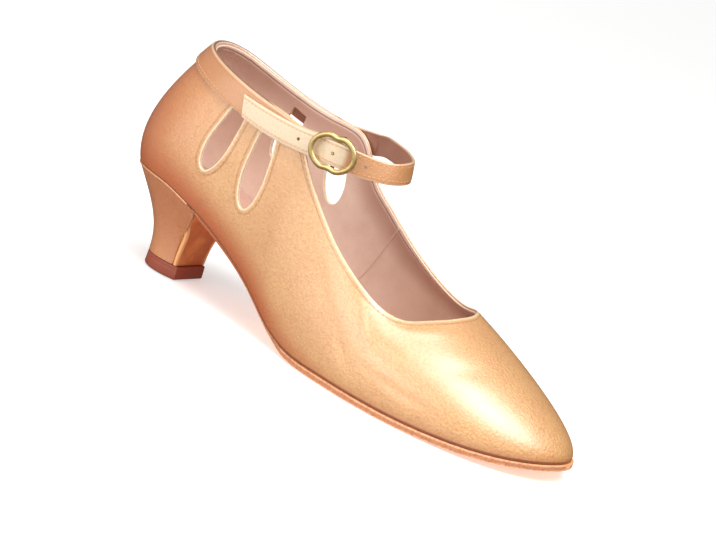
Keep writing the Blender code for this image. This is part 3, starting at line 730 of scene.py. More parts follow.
def stitches(name, path, outs, pitch=STITCH_PITCH, long=STITCH, thick=THREAD_ROUND):
    """A row of single stitches along PATH, sunk a little into the leather."""
    step = np.linalg.norm(np.diff(path, axis=0), axis=1)
    gone = np.concatenate([[0.0], np.cumsum(step)])
    count = int(gone[-1] / pitch)
    at = (np.arange(count) + 0.5) * gone[-1] / count

    def along(values, where):
        return np.stack([np.interp(where, gone, values[:, k]) for k in range(3)], 1)

    spots, out = along(path, at), unit(along(outs, at))
    run = unit(along(path, at + pitch / 4) - along(path, at - pitch / 4))
    work = bmesh.new()
    for spot, n, r in zip(spots, out, run):
        side = np.cross(n, r)
        turn = Matrix([list(r) + [0.0], list(side) + [0.0], list(n) + [0.0], [0, 0, 0, 1]])
        turn.transpose()
        size = Matrix.Diagonal((long / 2, thick, thick * 0.8, 1.0))
        bmesh.ops.create_icosphere(work, subdivisions=2, radius=1.0,
                                   matrix=Matrix.Translation(spot) @ turn @ size)
    return finished(name, work)


def thread_finish(name, tint):
    """Twisted thread with a slight sheen."""
    finish = Finish(name)
    twist = finish.noise(5200.0, 1.0)
    finish.set(Base_Color=finish.mix(twist.ramp(0.3, 0.7) * 0.5, tint, THREAD_DARK),
               Roughness=0.55, Sheen_Weight=0.3, Normal=finish.bump(twist, 0.00004))
    return finish


tan_thread = thread_finish("tan_thread", THREAD)
for i, row in enumerate(DROPS):
    line = drop_line(row, ROUND_OPENING)
    spots, outs = on_wall(row[0], line[4:-4])
    dress(stitches("opening_stitches_%d" % (i + 1), spots, outs), tan_thread, "upper")
spots, outs = down_wall(np.linspace(*THROAT_ENDS, 500), BELOW_THROAT)
dress(stitches("throat_stitches", spots, outs), tan_thread, "upper")
beside_seam = seam_path + seam_out * GAP - BESIDE_SEAM
dress(stitches("seam_stitches", beside_seam, seam_out), tan_thread, "upper")


# The sock is thin padded leather laid over the last's underside, inside the upper.
INSOLE = 0.0020
SOCK_DARK = shade(160, 116, 98)


def side_at(x, grow_outer, grow_inner):
    """The feather edge's outer and inner side at X, each grown outwards."""
    u = np.linspace(0.0, len(SLICES), 1201)
    edge = slices(u)[0]
    level = outward(u)
    toe = int(np.argmax(edge[:, 0]))
    sides = []
    for half, grow in ((slice(0, toe), grow_outer), (slice(None, toe, -1), grow_inner)):
        share = np.interp(edge[half, 0], x, np.broadcast_to(grow, (len(x),)))
        grown = edge[half] + level[half] * share[:, None]
        sides.append(np.interp(x, grown[:, 0], grown[:, 1]))
    return sides


def sock_points(rows=120, across=24):
    """Loops of points over the sock and under it, crowned and softly turned at its edge."""
    inset = WALL + 2 * GAP
    back, toe = slices([0.0, len(SLICES) / 2])[0][:, 0]
    ends = 0.04
    share = (1 - np.cos(np.linspace(ends, np.pi - ends, rows))) / 2
    x = back + inset + GAP + (toe - back - 2 * inset - 2 * GAP) * share
    outer, inner = side_at(x, -inset, -inset)
    low = bed(x)
    t = (1 - np.cos(np.linspace(0.0, np.pi, across))) / 2
    table = []
    for a, b, c, z in zip(x, outer, inner, low):
        y = b + (c - b) * t
        crown = INSOLE * (0.72 + 0.28 * np.minimum(1.0, 6.0 * np.minimum(t, 1 - t)))
        top = np.stack([np.full(across, a), y, z + crown], 1)
        under = np.stack([np.full(across, a), y, np.full(across, z)], 1)
        table.append(np.vstack([top, under[::-1]]))
    return np.array(table)


sock = skin("sock", sock_points())
dress(sock, napped_leather("mauve_sock", LINING_DARK, SOCK_DARK), "insole", "insole")


# The sole is one piece of leather: napped suede under the foot, trimmed and burnished at its
# edge, narrow and polished at the waist, and running down the heel's front as a flap.
SOLE = 0.0025
WAIST_SOLE = 0.0016
FLAP = 0.0016
TOP_PIECE = 0.0060
TOP_LIP = 0.0012
HEEL_BACK = 0.0128
HEEL_FRONT = 0.0106
HEEL_HALF = 0.0114
HEEL_LEAN = 0.0020
CORNER = 0.0086
SUEDE = shade(226, 158, 96)
SUEDE_DARK = shade(176, 104, 52)
RUBBED_NAP = shade(246, 196, 140)
POLISHED = shade(184, 96, 48)
POLISHED_LIGHT = shade(222, 138, 76)
SOLE_PEACH = shade(230, 166, 122)
FIBRE_BROWN = shade(168, 98, 56)
EDGE_LINE = shade(140, 74, 40)
FLAP_EDGE = shade(224, 164, 108)
WAIST_EDGE = shade(168, 92, 50)
FLAP_SIDES = ((0.00, 0.00), (0.25, 0.05), (0.45, 0.18), (0.60, 0.41), (0.78, 0.71), (1.00, 1.00))
SOLE_EDGE = (
    # along   outer   inner
    (0.215, -0.025, -0.030),
    (0.340, -0.040, -0.050),
    (0.423, -0.050, -0.100),
    (0.458, -0.030, -0.085),
    (0.490, 0.010, 0.005),
    (0.548, 0.025, 0.030),
    (1.000, 0.030, 0.030),
)


def breast(t):
    """The heel's front face from its foot (T = 0) to the bed (T = 1): along and height."""
    foot_x = HEEL_FRONT - TOP_LIP - FLAP - GAP
    head_x = HEEL_FRONT + HEEL_LEAN
    foot_z = TOP_PIECE + GAP
    head_z = bed([head_x])[0] - GAP
    t = np.asarray(t, float)
    return (bezier(t, foot_x, foot_x, 0.96 * head_x, head_x),
            bezier(t, foot_z, foot_z + 0.33 * SEAT, head_z - 0.28 * SEAT, head_z))


def flap_half(t):
    """Half the flap's width at T up the heel's front."""
    foot, head = 0.940 * HEEL_HALF, 0.590 * HALF_BALL
    return foot + (head - foot) * spline(FLAP_SIDES, [t])[0, 0]


def flap_rungs(last):
    """The sole's cross-sections down the heel's front, from its foot up to LAST."""
    rungs = []
    for t in np.linspace(0.0, last, 18):
        x, z = breast(t)
        w = flap_half(t)
        rungs.append([(x + GAP, -w, z), (x + GAP, w, z),
                      (x + GAP + FLAP, w, z), (x + GAP + FLAP, -w, z)])
    return rungs


def corner_rungs(last, end_x):
    """The sole's cross-sections round the corner from the heel's front into the waist."""
    x, z = breast(np.linspace(last, 1.0, 60))
    head_x = x[-1]
    start = np.array([x[0] + GAP + FLAP, z[0]])
    end = np.array([end_x - WAIST_SOLE * 0.4, bed([end_x])[0] - GAP - WAIST_SOLE * 0.94])
    c1 = np.array([head_x + FLAP * 1.2, 0.79 * SEAT])
    c2 = np.array([head_x + FLAP * 1.95, 0.845 * SEAT])
    seat_z = bed([head_x + GAP])[0] - GAP
    rungs = []
    for s in np.linspace(0.0, 1.0, 25)[1:]:
        outer = bezier(s, start, c1, c2, end)
        if s < 0.5:
            height = z[0] + (seat_z - z[0]) * 2 * s
            inner = np.array([np.interp(height, z, x) + GAP, height])
        else:
            along = head_x + GAP + (end_x - head_x - GAP) * (2 * s - 1)
            inner = np.array([along, bed([along])[0] - GAP])
        w = np.interp(s, (0.0, 0.35, 0.7, 1.0), (flap_half(last), 0.480 * HALF_BALL,
                                                 0.564 * HALF_BALL, 0.576 * HALF_BALL))
        rungs.append([(inner[0], -w, inner[1]), (inner[0], w, inner[1]),
                      (outer[0], w, outer[1]), (outer[0], -w, outer[1])])
    return rungs


def forefoot_rungs(end_x):
    """The sole's cross-sections from the waist to the toe, flat on the floor at the ball."""
    ball_x = place(0.485, 0.0, 0.0)[0]
    toe_x = slices([len(SLICES) / 2])[0][0, 0] + SOLE_EDGE[-1][1] * HALF_BALL - GAP / 2
    round_toe = np.sin(np.linspace(0.0, np.pi / 2, 111)[1:])
    x = np.concatenate([np.linspace(end_x, ball_x, 50)[1:], ball_x + (toe_x - ball_x) * round_toe])
    along, outer, inner = np.array(SOLE_EDGE).T
    shares = (x - BACK) / LENGTH
    sides = side_at(x, HALF_BALL * np.interp(shares, along, outer),
                    HALF_BALL * np.interp(shares, along, inner))
    top = bed(x) - GAP
    thick = np.interp(shares, (0.22, 0.38, 0.53), (WAIST_SOLE * 0.94, WAIST_SOLE, SOLE))
    low = top - thick
    low = np.where(x < ball_x, low, np.maximum(low, 0.0))
    back = np.gradient(top, x) * thick * 0.55 * np.clip((place(0.506, 0, 0)[0] - x) / 0.02, 0, 1)
    return [[(a, l, h), (a, m, h), (a + d, m, b), (a + d, l, b)]
            for a, l, m, h, b, d in zip(x, *sides, top, low, back)]


def soft_section(rung, across=16):
    """A loop round one cross-section, its edges trimmed round; and which points are edge."""
    outer_top, inner_top, inner_low, outer_low = np.array(rung, float)

    def side(top, low, other):
        """Points down one trimmed edge, from the top to the underside."""
        thick = np.linalg.norm(top - low)
        down, inward = (low - top) / thick, unit(other - low)
        r = 0.22 * thick
        arc = np.linspace(0.0, np.pi / 2, 4)
        top_arc = [top + down * r * (1 - np.sin(a)) + inward * r * (1 - np.cos(a))
                   for a in arc[::-1]]
        low_arc = [low - down * r * (1 - np.sin(a)) + inward * r * (1 - np.cos(a)) for a in arc]
        return np.array(top_arc + low_arc)

    inner_side = side(inner_top, inner_low, outer_low)
    outer_side = side(outer_top, outer_low, inner_low)[::-1]
    share = np.linspace(0.0, 1.0, across)[1:-1, None]
    under = inner_side[-1] + (outer_side[0] - inner_side[-1]) * share
    over = outer_side[-1] + (inner_side[0] - outer_side[-1]) * share
    down = np.linspace(0.15, 1.0, len(inner_side))
    edge = np.concatenate([down, np.zeros(len(under)), down[::-1], np.zeros(len(over))])
    return np.vstack([inner_side, under, outer_side, over]), edge


last = 0.62
end_x = HEEL_FRONT + HEEL_LEAN + CORNER
sections = [soft_section(rung) for rung in
            flap_rungs(last) + corner_rungs(last, end_x) + forefoot_rungs(end_x)]
sole = skin("sole", np.array([points for points, edge in sections]),
            marks={"edge": np.array([edge for points, edge in sections])})

sole_finish = Finish("suede_and_polished_sole")
where = sole_finish.along("X")
nap = sole_finish.noise(1500.0, 5.0, 0.7)
blotch = sole_finish.noise(70.0, 4.0, 0.6)
worn = sole_finish.noise(230.0, 3.0, 0.6)
down = sole_finish.kept("edge")
edge = down.ramp(0.04, 0.14)
forefoot = (where + blotch * 0.012).ramp(0.052, 0.066)
suede = sole_finish.mix(blotch.ramp(0.42, 0.72) * 0.50 + worn.ramp(0.5, 0.8) * 0.3, SUEDE,
                        SUEDE_DARK)
suede = sole_finish.mix(nap.ramp(0.35, 0.75) * 0.35, suede, RUBBED_NAP)
polish = sole_finish.mix(blotch.ramp(0.38, 0.66) * 0.8, POLISHED, POLISHED_LIGHT)
under = sole_finish.mix(forefoot, polish, suede)
fibre = sole_finish.noise(900.0, 3.0, 0.7)
trimmed = sole_finish.mix(fibre.ramp(0.42, 0.66) * 0.60, SOLE_PEACH, FIBRE_BROWN)
line = (down + worn * 0.16).ramp(0.50, 0.62) - (down + worn * 0.16).ramp(0.68, 0.80)
trimmed = sole_finish.mix(line * 0.60, trimmed, EDGE_LINE)
waist_edge = sole_finish.mix(where.ramp(0.013, 0.024), FLAP_EDGE, WAIST_EDGE)
trimmed = sole_finish.mix(where.ramp(0.040, 0.070), waist_edge, trimmed)
sole_finish.set(Base_Color=sole_finish.mix(edge, under, trimmed),
                Roughness=0.32 + forefoot * 0.55 * (1.0 - edge) + edge * forefoot * 0.35,
                Normal=sole_finish.bump(nap * (0.25 + forefoot * 0.75), 0.00022, 0.8))
dress(sole, sole_finish, "outsole", "outsole")


# The heel is a moulded block covered in the upper's leather and flared at the seat.  The cover
# is turned in beside the flap, and from SWEPT of the heel's height its edge runs forward over
# the flap, by SWEEP at the seat.
SWEPT = 0.45
SWEEP = 0.0075
HEEL_COLUMNS = 161
EDGE_ROLL = 0.00050
RAND = 0.00040
HEEL_TAN = shade(204, 128, 78)
HEEL_DEEP = shade(182, 102, 54)
RAND_PALE_HIGHLIGHT = shade(236, 170, 112)
HEEL_EDGE_HIGHLIGHT = shade(222, 158, 100)
HEEL_FOOT = shade(222, 146, 84)
HEEL_FACE = (
    # along   side
    (0.974, 0.907), (0.566, 0.987), (0.045, 1.000), (-0.374, 0.886),
    (-0.720, 0.633), (-0.935, 0.316), (-1.000, 0.000),
)


def numbered(rows, count):
    """COUNT evenly numbered values of the smooth curve through ROWS, from first to last."""
    rows = [(i,) + tuple(row) for i, row in enumerate(rows)]
    return spline(rows, np.linspace(0.0, len(rows) - 1.0, count))


def heel_face(count):
    """Points round the heel's standing face from the outer front corner to the inner one."""
    half = [(along * (HEEL_FRONT if along > 0 else HEEL_BACK), HEEL_HALF * side)
            for along, side in HEEL_FACE]
    other = [(along, side) for along, side in half[:-1]][::-1]
    return numbered([(along, -side) for along, side in half] + other, count)


def slice_near(x, inner):
    """The slice number where the feather edge passes X near the heel, on one side."""
    u = np.linspace(0.0, 9.0, 901)
    if inner:
        u = -u
    return np.interp(x, slices(u)[0][:, 0], u)


def softened(loop, corners, reach=0.0016, rounds=24):
    """LOOP with the named corners worn round."""
    near = np.min([np.linalg.norm(loop - loop[corner], axis=1) for corner in corners], axis=0)
    give = 0.5 * np.exp(-(near / reach) ** 2)[:, None]
    for _ in range(rounds):
        middle = (np.roll(loop, 1, axis=0) + np.roll(loop, -1, axis=0)) / 2
        loop = loop + (middle - loop) * give
    return loop


def cover_front(t):
    """The cover's front edge at T up the heel, swept forward over the flap at its top."""
    if t <= SWEPT:
        x, z = breast(t)
        return float(x), float(z)
    head_x = breast(1.0)[0]
    end_x = head_x + SWEEP
    points = ([float(q) for q in breast(SWEPT)], (head_x + 0.0012, 0.640 * SEAT),
              (head_x + 0.0033, 0.851 * SEAT), (end_x, bed([end_x])[0] - GAP))
    share = (t - SWEPT) / (1.0 - SWEPT)
    return tuple(float(q) for q in bezier(share, *np.array(points)))


def heel_points(count=HEEL_COLUMNS, rows=60, front=41):
    """Loops round the heel from its foot to the seat."""
    foot_x, head_x = breast(0.0)[0], breast(1.0)[0] + SWEEP
    foot = heel_face(count) * 0.985
    foot[:, 0] = np.minimum(foot[:, 0], foot_x)
    base = np.column_stack([foot, np.full(count, TOP_PIECE + GAP)])
    u = np.linspace(slice_near(head_x, False), slice_near(head_x, True), count)
    up = np.array([0.0, 0.0, 1.0])
    head = slices(u)[0] - up * GAP
    square = outward(u)
    lean = np.clip(-square[:, 0], 0.0, 1.0)[:, None]
    c1 = base + up * SEAT * 0.32
    c2 = head - square * SEAT * (0.20 + 0.02 * lean) - up * SEAT * (0.30 + 0.03 * lean)
    table = []
    for t in np.linspace(0.0, 1.0, rows):
        side = bezier(t, base, c1, c2, head)
        x, z = breast(t)
        edge_x, edge_z = cover_front(t)
        side[:, 0] = np.minimum(side[:, 0], edge_x)
        side[[0, -1], 0] = edge_x
        side[[0, -1], 2] = edge_z
        corner = min(-side[0, 1], side[-1, 1])
        past = max(t - SWEPT, 0.0) / (1.0 - SWEPT)
        half = min(flap_half(t) + GAP - 0.0030 * min(4.0 * past, 1.0), corner - 0.0012)
        across = [(x, y, z) for y in np.linspace(half, -half, front - 6)]
        turned_in = [(edge_x, (corner + half) / 2, edge_z), (edge_x, half, edge_z)]
        turned_out = [(a, -b, c) for a, b, c in turned_in[::-1]]
        table.append(softened(np.vstack([side, turned_in, across, turned_out]), (0, count - 1)))
    return np.array(table)


def eased(thing, width):
    """THING with its sharp edges rounded."""
    change = thing.modifiers.new("ease", "BEVEL")
    change.width = width
    change.segments = 2
    change.limit_method = "ANGLE"
    change.angle_limit = math.radians(35)
    return applied(thing)


heel_table = heel_points()
turned = np.zeros(heel_table.shape[:2])
turned[:, HEEL_COLUMNS:] = 1.0
heel = eased(skin("heel_cover", heel_table, marks={"turned": turned}), 0.0005)
heel_leather = grained_leather("heel_leather", HEEL_TAN, HEEL_DEEP)
# Painted highlight: the cover's turned-in faces beside the flap are made pale.
corner_highlight = heel_leather.mix(heel_leather.kept("turned") * 0.8, heel_leather.colour, HEEL_EDGE_HIGHLIGHT)
foot = (1.0 - heel_leather.along("Z").ramp(0.006, 0.030)) * 0.6
heel_leather.set(Base_Color=heel_leather.mix(foot, corner_highlight, HEEL_FOOT))
dress(heel, heel_leather, "heel", "heel")
# The rolled edges at the heel's front corners are pale as painted highlight.
heel_edge_leather = grained_leather("heel_edge_leather", HEEL_EDGE_HIGHLIGHT, UPPER_DEEP)
for name, column in (("heel_edge_outer", 0), ("heel_edge_inner", HEEL_COLUMNS - 1)):
    path = heel_table[1:-9, column] - np.array([GAP, 0.0, 0.0])
    dress(rod(name, path, EDGE_ROLL, np.array([1.0, 0.0, 0.0])), heel_edge_leather, "heel")
# The rand along the seat is paler than the heel leather, partly as painted highlight along the
# heel's top edge.
rand_u = np.linspace(-3.1, 3.1, 160)
rand_path = slices(rand_u)[0] - outward(rand_u) * SUNK - np.array([0.0, 0.0, GAP * 0.6])
rand = rod("seat_rand", rand_path, RAND, np.array([0.0, 0.0, 1.0]))
dress(rand, grained_leather("rand_leather", RAND_PALE_HIGHLIGHT, SHADE_AND_LINE_ORANGE), "heel")


# The top piece is a dark, hard-wearing block nailed under the heel, its underside darker than
# its side, with a fine line run round it.
TIP_DARK = shade(74, 30, 28)
TIP_SIDE = shade(146, 68, 46)
TIP_SCUFF = shade(146, 84, 70)


def top_piece_points(count=97):
    """Loops from the worn underside up to the heel, and the fine line round its side."""
    ring = heel_face(count)
    ring[:, 0] = np.minimum(ring[:, 0], HEEL_FRONT)
    ring[[0, -1], 0] = HEEL_FRONT
    profile = (
        # height  grow
        (0.0000, 0.962), (0.0001, 0.982), (0.0005, 1.000), (0.0030, 0.994), (0.0043, 0.991),
        (0.0045, 0.979), (0.0047, 0.990), (0.0056, 0.985), (0.0060, 0.970),
    )
    return np.array([[(x * grow, y * grow, z) for x, y in ring] for z, grow in profile])


tip = eased(skin("top_piece_block", top_piece_points()), 0.0004)
tip_finish = Finish("dark_red_brown")
scuff = tip_finish.noise(420.0, 4.0, 0.6)
tip_colour = tip_finish.mix(tip_finish.along("Z").ramp(0.0001, 0.0005), TIP_DARK, TIP_SIDE)
tip_finish.set(Base_Color=tip_finish.mix(scuff.ramp(0.55, 0.75) * 0.4, tip_colour, TIP_SCUFF),
               Roughness=0.36 + scuff * 0.2, Normal=tip_finish.bump(scuff, 0.00008))
dress(tip, tip_finish, "top_piece", "top_piece")


# The collar band is folded over the collar and runs on round the inner side as the strap,
# which crosses the instep, passes through the buckle and lies back on the outer quarter.
BAND = 0.0012
FOLD = 0.0009
BAND_WIDE = 0.0112
STRAP_WIDE = 0.0100
STRAP_PLAY = 0.0013
FRAME_LONG = 0.0098
WIRE = 0.0010
BAR = 0.0009
HOLE = 0.0007
TURN_IN = 0.0009
STRAP_TAN = shade(194, 138, 86)
PALE_GOLD = shade(220, 200, 166)
# Lining colour of the band and strap, darkened in part as painted shade.
STRAP_LINING_AND_SHADE = shade(150, 94, 76)
PALE_FROM = 0.62
BAR_AT = (0.4584, -0.7236, 0.8406)
HOLES = (-0.0138, 0.0, 0.0180)
STRAP = (
    # along   side    height   lean_along  lean_side  tall
    (0.3883, 0.7155, 0.8284, -0.05, -0.06, 0.97),
    (0.4158, 0.6045, 0.8452, -0.07, -0.08, 0.91),
    (0.4528, 0.4200, 0.8545, -0.12, -0.10, 0.89),
    (0.4983, 0.2130, 0.8568, -0.14, -0.02, 0.89),
    (0.5338, 0.0000, 0.8533, -0.17, 0.05, 0.86),
    (0.5478, -0.1650, 0.8475, -0.22, 0.07, 0.89),
    (0.5448, -0.3390, 0.8371, -0.22, 0.12, 0.86),
    (0.5278, -0.4950, 0.8301, -0.17, 0.17, 0.86),
    (0.5033, -0.6345, 0.8330, -0.05, 0.08, 0.95),
)
CROSSING = (
    # ahead   on_bar  on_tab  above   tall
    (0.680, -0.230, 0.000, -0.03, 0.97),
    (0.365, 0.500, 0.000, -0.01, 0.99),
    (0.000, 1.000, 0.000, 0.00, 1.00),
    (-0.370, 0.940, 0.000, -0.01, 0.99),
    (-0.760, 0.620, 0.000, -0.03, 0.99),
    (-1.250, 0.000, 0.860, -0.07, 0.97),
    (-1.780, 0.000, 1.060, -0.12, 0.97),
)
TAB = (
    # behind   in     above   tall
    (0.420, 0.960, -0.005, 0.94),
    (0.910, 0.580, -0.030, 0.99),
    (1.350, 0.105, -0.070, 1.02),
    (1.690, -0.125, -0.100, 1.04),
)
bar = place(*BAR_AT)
on_bar = BAR + FOLD + 2 * GAP


def tab_edges():
    """The tab's lower and upper edge from its folded end, round the bar, to the quarter."""
    loop = BAR + GAP + FOLD
    turn = np.linspace(0.0, np.pi, 25)
    arc = [(loop * np.sin(a), -loop * np.cos(a), 0.0, 0.92) for a in turn]
    end = [(-x * FRAME_LONG, -loop, 0.0, 0.92) for x in (0.36, 0.24, 0.12)]
    run = [(-behind * FRAME_LONG, loop * into, above, tall) for behind, into, above, tall in TAB]
    fold = np.array(end + arc)
    rows = np.vstack([fold, numbered([arc[-1]] + run, 30)[1:]])
    centre = bar + np.column_stack([rows[:, :2], STRAP_WIDE * rows[:, 2]])
    half = np.column_stack([0 * rows[:, :2], STRAP_WIDE * rows[:, 3] / 2])
    thick = np.interp(np.arange(len(rows)), (len(fold), len(rows) - 1), (FOLD, BAND))
    return centre - half, centre + half, thick, np.zeros(len(rows))


def band_edges():
    """The collar band's edges, and how far it is folded over the collar at each place."""
    count = len(SLICES)
    u = np.concatenate([np.linspace(4.75, 0.0, 90), np.linspace(count - 0.05, count - 4.5, 86)])
    from_back = np.abs((u + count / 2) % count - count / 2)
    low, out_low = down_wall(u, BAND_WIDE * np.interp(from_back, (0.5, 3.0), (0.86, 1.0)))
    high, out_high = down_wall(u, 0.0)
    t = np.clip((4.6 - from_back) / 0.7, 0.0, 1.0)
    return (low + out_low * GAP, high + out_high * GAP, np.full(len(u), BAND),
            t * t * (3 - 2 * t))


def strap_edges():
    """The free strap's edges, over the instep and through the buckle."""
    rows = [np.concatenate([place(*row[:3]), STRAP_WIDE * np.array(row[3:])]) for row in STRAP]
    on_tab = BAND + 2 * GAP
    for ahead, bar_share, tab_share, above, tall in CROSSING:
        middle = bar + np.array([ahead * FRAME_LONG, -bar_share * on_bar - tab_share * on_tab,
                                 above * STRAP_WIDE])
        rows.append(np.concatenate([middle, [0.0, 0.0, STRAP_WIDE * tall]]))
    path = numbered(rows, 380)
    return (path[:, :3] - path[:, 3:] / 2, path[:, :3] + path[:, 3:] / 2,
            np.full(len(path), BAND), np.zeros(len(path)))


def tip_edges():
    """The strap's tip, lying on the collar band."""
    lift = 2 * GAP + BAND
    below = BAND_WIDE + GAP
    low, out_low = down_wall(np.linspace(4.70, 3.66, 48), below)
    high, out_high = down_wall(np.linspace(4.75, 3.48, 48),
                               below - STRAP_WIDE * np.linspace(1.0, 0.86, 48))
    return low + out_low * lift, high + out_high * lift, np.full(48, BAND), np.zeros(48)


def band_section(width, thick, over):
    """A loop round the band in its own plane, up and out, turned over the collar by OVER."""
    r = 0.42 * thick
    inner = -(GAP + LEATHER + 0.0002) * over
    crest = (thick - inner) / 2
    rise = r + (0.85 * crest - r) * over
    arc = np.linspace(0.0, np.pi, 15)
    outside = [(r * 0.3, 0.12 * thick), (0.0, 0.5 * thick), (r * 0.3, 0.88 * thick),
               (r, thick)]
    outside += [(width * s, thick * (1.0 + 0.10 * math.sin(math.pi * s)))
                for s in np.linspace(0.12, 0.88, 11)]
    top = [(width - r + rise * math.sin(a), inner + crest + crest * math.cos(a)) for a in arc]
    down = TURN_IN * over
    fold = [(width - r - down * s, inner) for s in (0.35, 0.7, 1.0)]
    fold += [(width - r - down * s, inner + 0.0004 * over) for s in (1.0, 0.5, 0.1)]
    back = [(width * s, 0.0) for s in (0.88, 0.6, 0.3)] + [(r, 0.0)]
    marks = [0] * (len(outside) + len(top)) + [0 if over > 0.5 else 1] * 6 + [1] * 4
    from_edge = [min(s, width - s) for s, d in outside]
    from_edge += [0.0] * (len(top) + 6) + [0.004] * 4
    crest_marks = [0.0] * len(outside) + list(over * arc / np.pi) + [over] * 6 + [0.0] * 4
    return outside + top + fold + back, marks, from_edge, crest_marks


def band_table(runs):
    """The strap's loops of points along its RUNS, and its lined side."""
    low, high, thick, over = [np.concatenate(parts) for parts in zip(*runs)]
    run = unit(np.gradient((low + high) / 2, axis=0))
    up = unit(high - low)
    out = unit(np.cross(up, run))
    table, kept = [], []
    for a, b, n, t, turned_over in zip(low, high, out, thick, over):
        section, *marks = band_section(np.linalg.norm(b - a), t, turned_over)
        rise = unit(b - a)
        table.append([a + rise * s + n * d for s, d in section])
        kept.append(marks)
    kept = np.array(kept, float).transpose(1, 0, 2)
    return np.array(table), dict(zip(("lined", "inset", "crest"), kept)), out


def eased_in(free, tip, reach=60, rounds=400):
    """The free strap and its tip, with the bend between them spread out."""
    count = len(free[0])
    near = np.exp(-((np.arange(count + len(tip[0])) - count) / (reach / 2)) ** 2)
    near[[0, -1]] = 0.0
    eased = []
    for a, b in zip(free[:2], tip[:2]):
        line = np.vstack([a, b])
        for _ in range(rounds):
            middle = line.copy()
            middle[1:-1] = (line[:-2] + line[2:]) / 2
            line = line + (middle - line) * near[:, None] * 0.5
        eased.append(line)
    low, high = eased
    return ((low[:count], high[:count]) + free[2:], (low[count:], high[count:]) + tip[2:])


free, tip_run = eased_in(strap_edges(), tip_edges())
runs = [tab_edges(), band_edges(), free, tip_run]
points, strap_marks, outs = band_table(runs)
first = len(runs[0][0]) + len(runs[1][0])
pale = np.clip((np.arange(len(points)) - first - PALE_FROM * len(free[0])) / 14.0, 0.0, 1.0)
strap_marks["pale"] = np.repeat(pale[:, None], points.shape[1], axis=1)
strap = skin("collar_band_and_strap", points, marks=strap_marks)
middle = (free[0] + free[1]) / 2
strap_out = outs[first:first + len(middle)]
gone = np.concatenate([[0.0], np.cumsum(np.linalg.norm(np.diff(middle, axis=0), axis=1))])
crossed = (len(STRAP) + [row[0] for row in CROSSING].index(0.0)) \
    / (len(STRAP) + len(CROSSING) - 1)
at_bar = np.interp(crossed, np.linspace(0.0, 1.0, len(gone)), gone)
punches = []
for i, along in enumerate(HOLES):
    spot = np.array([np.interp(at_bar + along, gone, middle[:, k]) for k in range(3)])
    aim = unit(np.array([np.interp(at_bar + along, gone, strap_out[:, k]) for k in range(3)]))
    depth = BAR + FOLD if along == 0.0 else GAP
    path = np.linspace(spot - aim * depth, spot + aim * (BAND + 3 * GAP), 3)
    punches.append(rod("punch_%d" % (i + 1), path, HOLE, np.array([0.0, 0.0, 1.0]), sides=20))
carved(strap, punches)

strap_finish = grained_leather("strap_leather", STRAP_TAN, UPPER_DEEP, relief=0.00026)
lined_side = strap_finish.kept("lined").ramp(0.35, 0.65)
# Painted shade: the band darkens towards the back of the heel.
strap_back_shade = (1.0 - strap_finish.along("X").ramp(-0.036, 0.030)) * 0.60
outer = strap_finish.mix(strap_back_shade, strap_finish.colour, SHADE_AND_LINE_ORANGE)
outer = strap_finish.mix(strap_finish.kept("pale") * 0.8, outer, PALE_GOLD)
from_edge = strap_finish.kept("inset")
line = from_edge.ramp(0.0008, 0.0013) - from_edge.ramp(0.0013, 0.0020)
outer = strap_finish.mix(line * 0.35, outer, SHADE_AND_LINE_ORANGE)
# Pale strap edges: partly edge wear, partly painted highlight.
outer = strap_finish.mix((1.0 - from_edge.ramp(0.0001, 0.0007)) * 0.4, outer, EDGE_WEAR_AND_HIGHLIGHT)
crest = strap_finish.kept("crest")
# Painted shade: a dark line on the crest where the band meets the lining's edge.
outer = strap_finish.mix(crest.ramp(0.20, 0.28) * 0.85, outer, SEAM_AND_GAP_SHADE)
outer = strap_finish.mix(crest.ramp(0.48, 0.56), outer, LINING_SEAM)
# The lined side takes the lining colour, darkened in part as painted shade.
strap_finish.set(Base_Color=strap_finish.mix(lined_side, outer, STRAP_LINING_AND_SHADE),
                 Metallic=0.20 - lined_side * 0.20)
dress(strap, strap_finish, "strap", "collar_strap")


# The strap is stitched down both edges and across its square tip, and the collar band along
# its lower seam, all in the tan thread.
STRAP_STITCH = (0.0021, 0.0015, 0.00019)
STITCHED_FROM = 80
STITCHED_ACROSS = -5
IN_FROM_EDGE = 0.0016
THREAD_AT = 1.02 * BAND


def edge_rows(low, high, out, inset):
    """Lines just inside the lower and upper edges, on the strap's outer face."""
    rise = unit(high - low)
    return low + rise * inset + out * THREAD_AT, high - rise * inset + out * THREAD_AT


long_low = np.vstack([free[0][STITCHED_FROM:], tip_run[0]])
long_high = np.vstack([free[1][STITCHED_FROM:], tip_run[1]])
long_out = outs[first + STITCHED_FROM:]
for name, path in zip(("strap_stitches_low", "strap_stitches_high"),
                      edge_rows(long_low, long_high, long_out, IN_FROM_EDGE)):
    dress(stitches(name, path, long_out, *STRAP_STITCH), tan_thread, "strap")
end_low, end_high = edge_rows(long_low[STITCHED_ACROSS], long_high[STITCHED_ACROSS],
                              long_out[STITCHED_ACROSS], IN_FROM_EDGE)
end_path = np.linspace(end_low, end_high, 12)
end_out = np.repeat(long_out[STITCHED_ACROSS][None], 12, axis=0)
dress(stitches("strap_stitches_end", end_path, end_out, *STRAP_STITCH), tan_thread, "strap")
band_run = runs[1]
band_out = outs[len(runs[0][0]):first]
band_low = edge_rows(band_run[0], band_run[1], band_out, 0.0015)[0]
dress(stitches("band_stitches", band_low[6:-4], band_out[6:-4]), tan_thread, "strap")


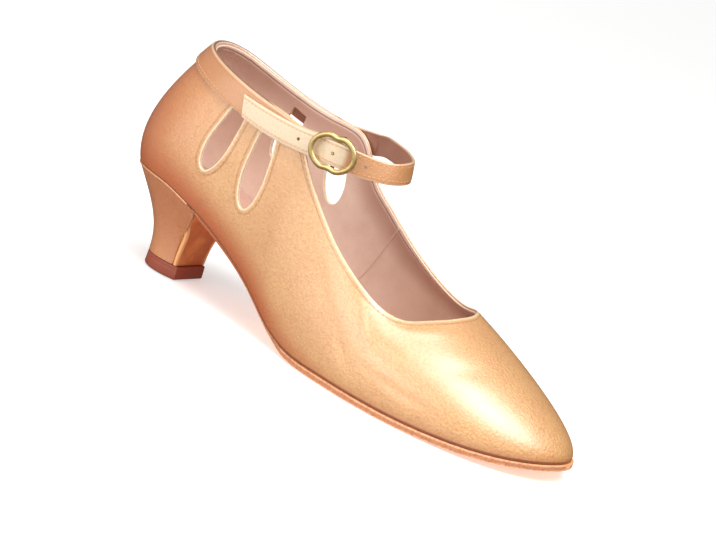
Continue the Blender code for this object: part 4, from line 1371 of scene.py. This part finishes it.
# The buckle is a cast gilt frame, its waist narrowed to two lobes, with a sunk bar that the
# tab loops round and a short peg that stands through the strap's middle hole.
GILT = (0.80, 0.58, 0.25)
GILT_DARK = (0.40, 0.26, 0.09)
FRAME_RUN = (0.985, 0.170, 0.0)
LEG_AT = 0.904
WAIST_IN = 0.13
WAIST_LONG = 0.26
WIRE_WIDE = 1.18 * WIRE
WIRE_DEEP = 0.92 * WIRE
PEG = 0.0005

middle_of_buckle = bar - np.array([0.0, on_bar + 0.9 * BAND, 0.0])
along_buckle = unit(np.array(FRAME_RUN))
up = np.array([0.0, 0.0, 1.0])
turn = 2 * np.pi * np.arange(160) / 160
half_tall = STRAP_WIDE / 2 + STRAP_PLAY + WIRE
a = FRAME_LONG * np.cos(turn)
waist = WAIST_IN * np.exp(-(a / (WAIST_LONG * FRAME_LONG)) ** 2)
b = half_tall * np.sin(turn) * (1.0 - waist)
lobes = middle_of_buckle + a[:, None] * along_buckle + b[:, None] * up
run = unit(np.roll(lobes, -1, 0) - np.roll(lobes, 1, 0))
face = np.cross(up, along_buckle)
level = np.cross(run, face)
turn = 2 * np.pi * np.arange(20) / 20
buckle = skin("buckle_frame", lobes[:, None, :]
              + WIRE_WIDE * np.cos(turn)[None, :, None] * level[:, None, :]
              + WIRE_DEEP * np.sin(turn)[None, :, None] * face, ring=True)
leg = LEG_AT * half_tall
half = [(leg, middle_of_buckle[1]), (leg, middle_of_buckle[1] + WIRE + GAP),
        (leg - GAP, bar[1] - GAP), (leg - BAR, bar[1])]
bends = half + [(0.0, bar[1])] + [(-height, y) for height, y in reversed(half)]
bar_path = numbered([(bar[0], y, bar[2] + height) for height, y in bends], 60)
buckle_bar = rod("buckle_bar", bar_path, BAR, np.array([1.0, 0.0, 0.0]), sides=16)
peg_path = np.linspace(bar, bar - np.array([0.0, on_bar + BAND, 0.0]), 6)
peg = rod("buckle_peg", peg_path, PEG, np.array([1.0, 0.0, 0.0]), sides=16)
gilt = Finish("gilt_metal")
tarnish = gilt.noise(520.0, 3.0, 0.6)
gilt.set(Base_Color=gilt.mix(tarnish.ramp(0.4, 0.8) * 0.45, GILT, GILT_DARK),
         Metallic=0.94, Roughness=0.30 + tarnish * 0.12, Normal=gilt.bump(tarnish, 0.00004))
dress(buckle, gilt, "buckle", "buckle")
dress(buckle_bar, gilt, "buckle")
dress(peg, gilt, "buckle")
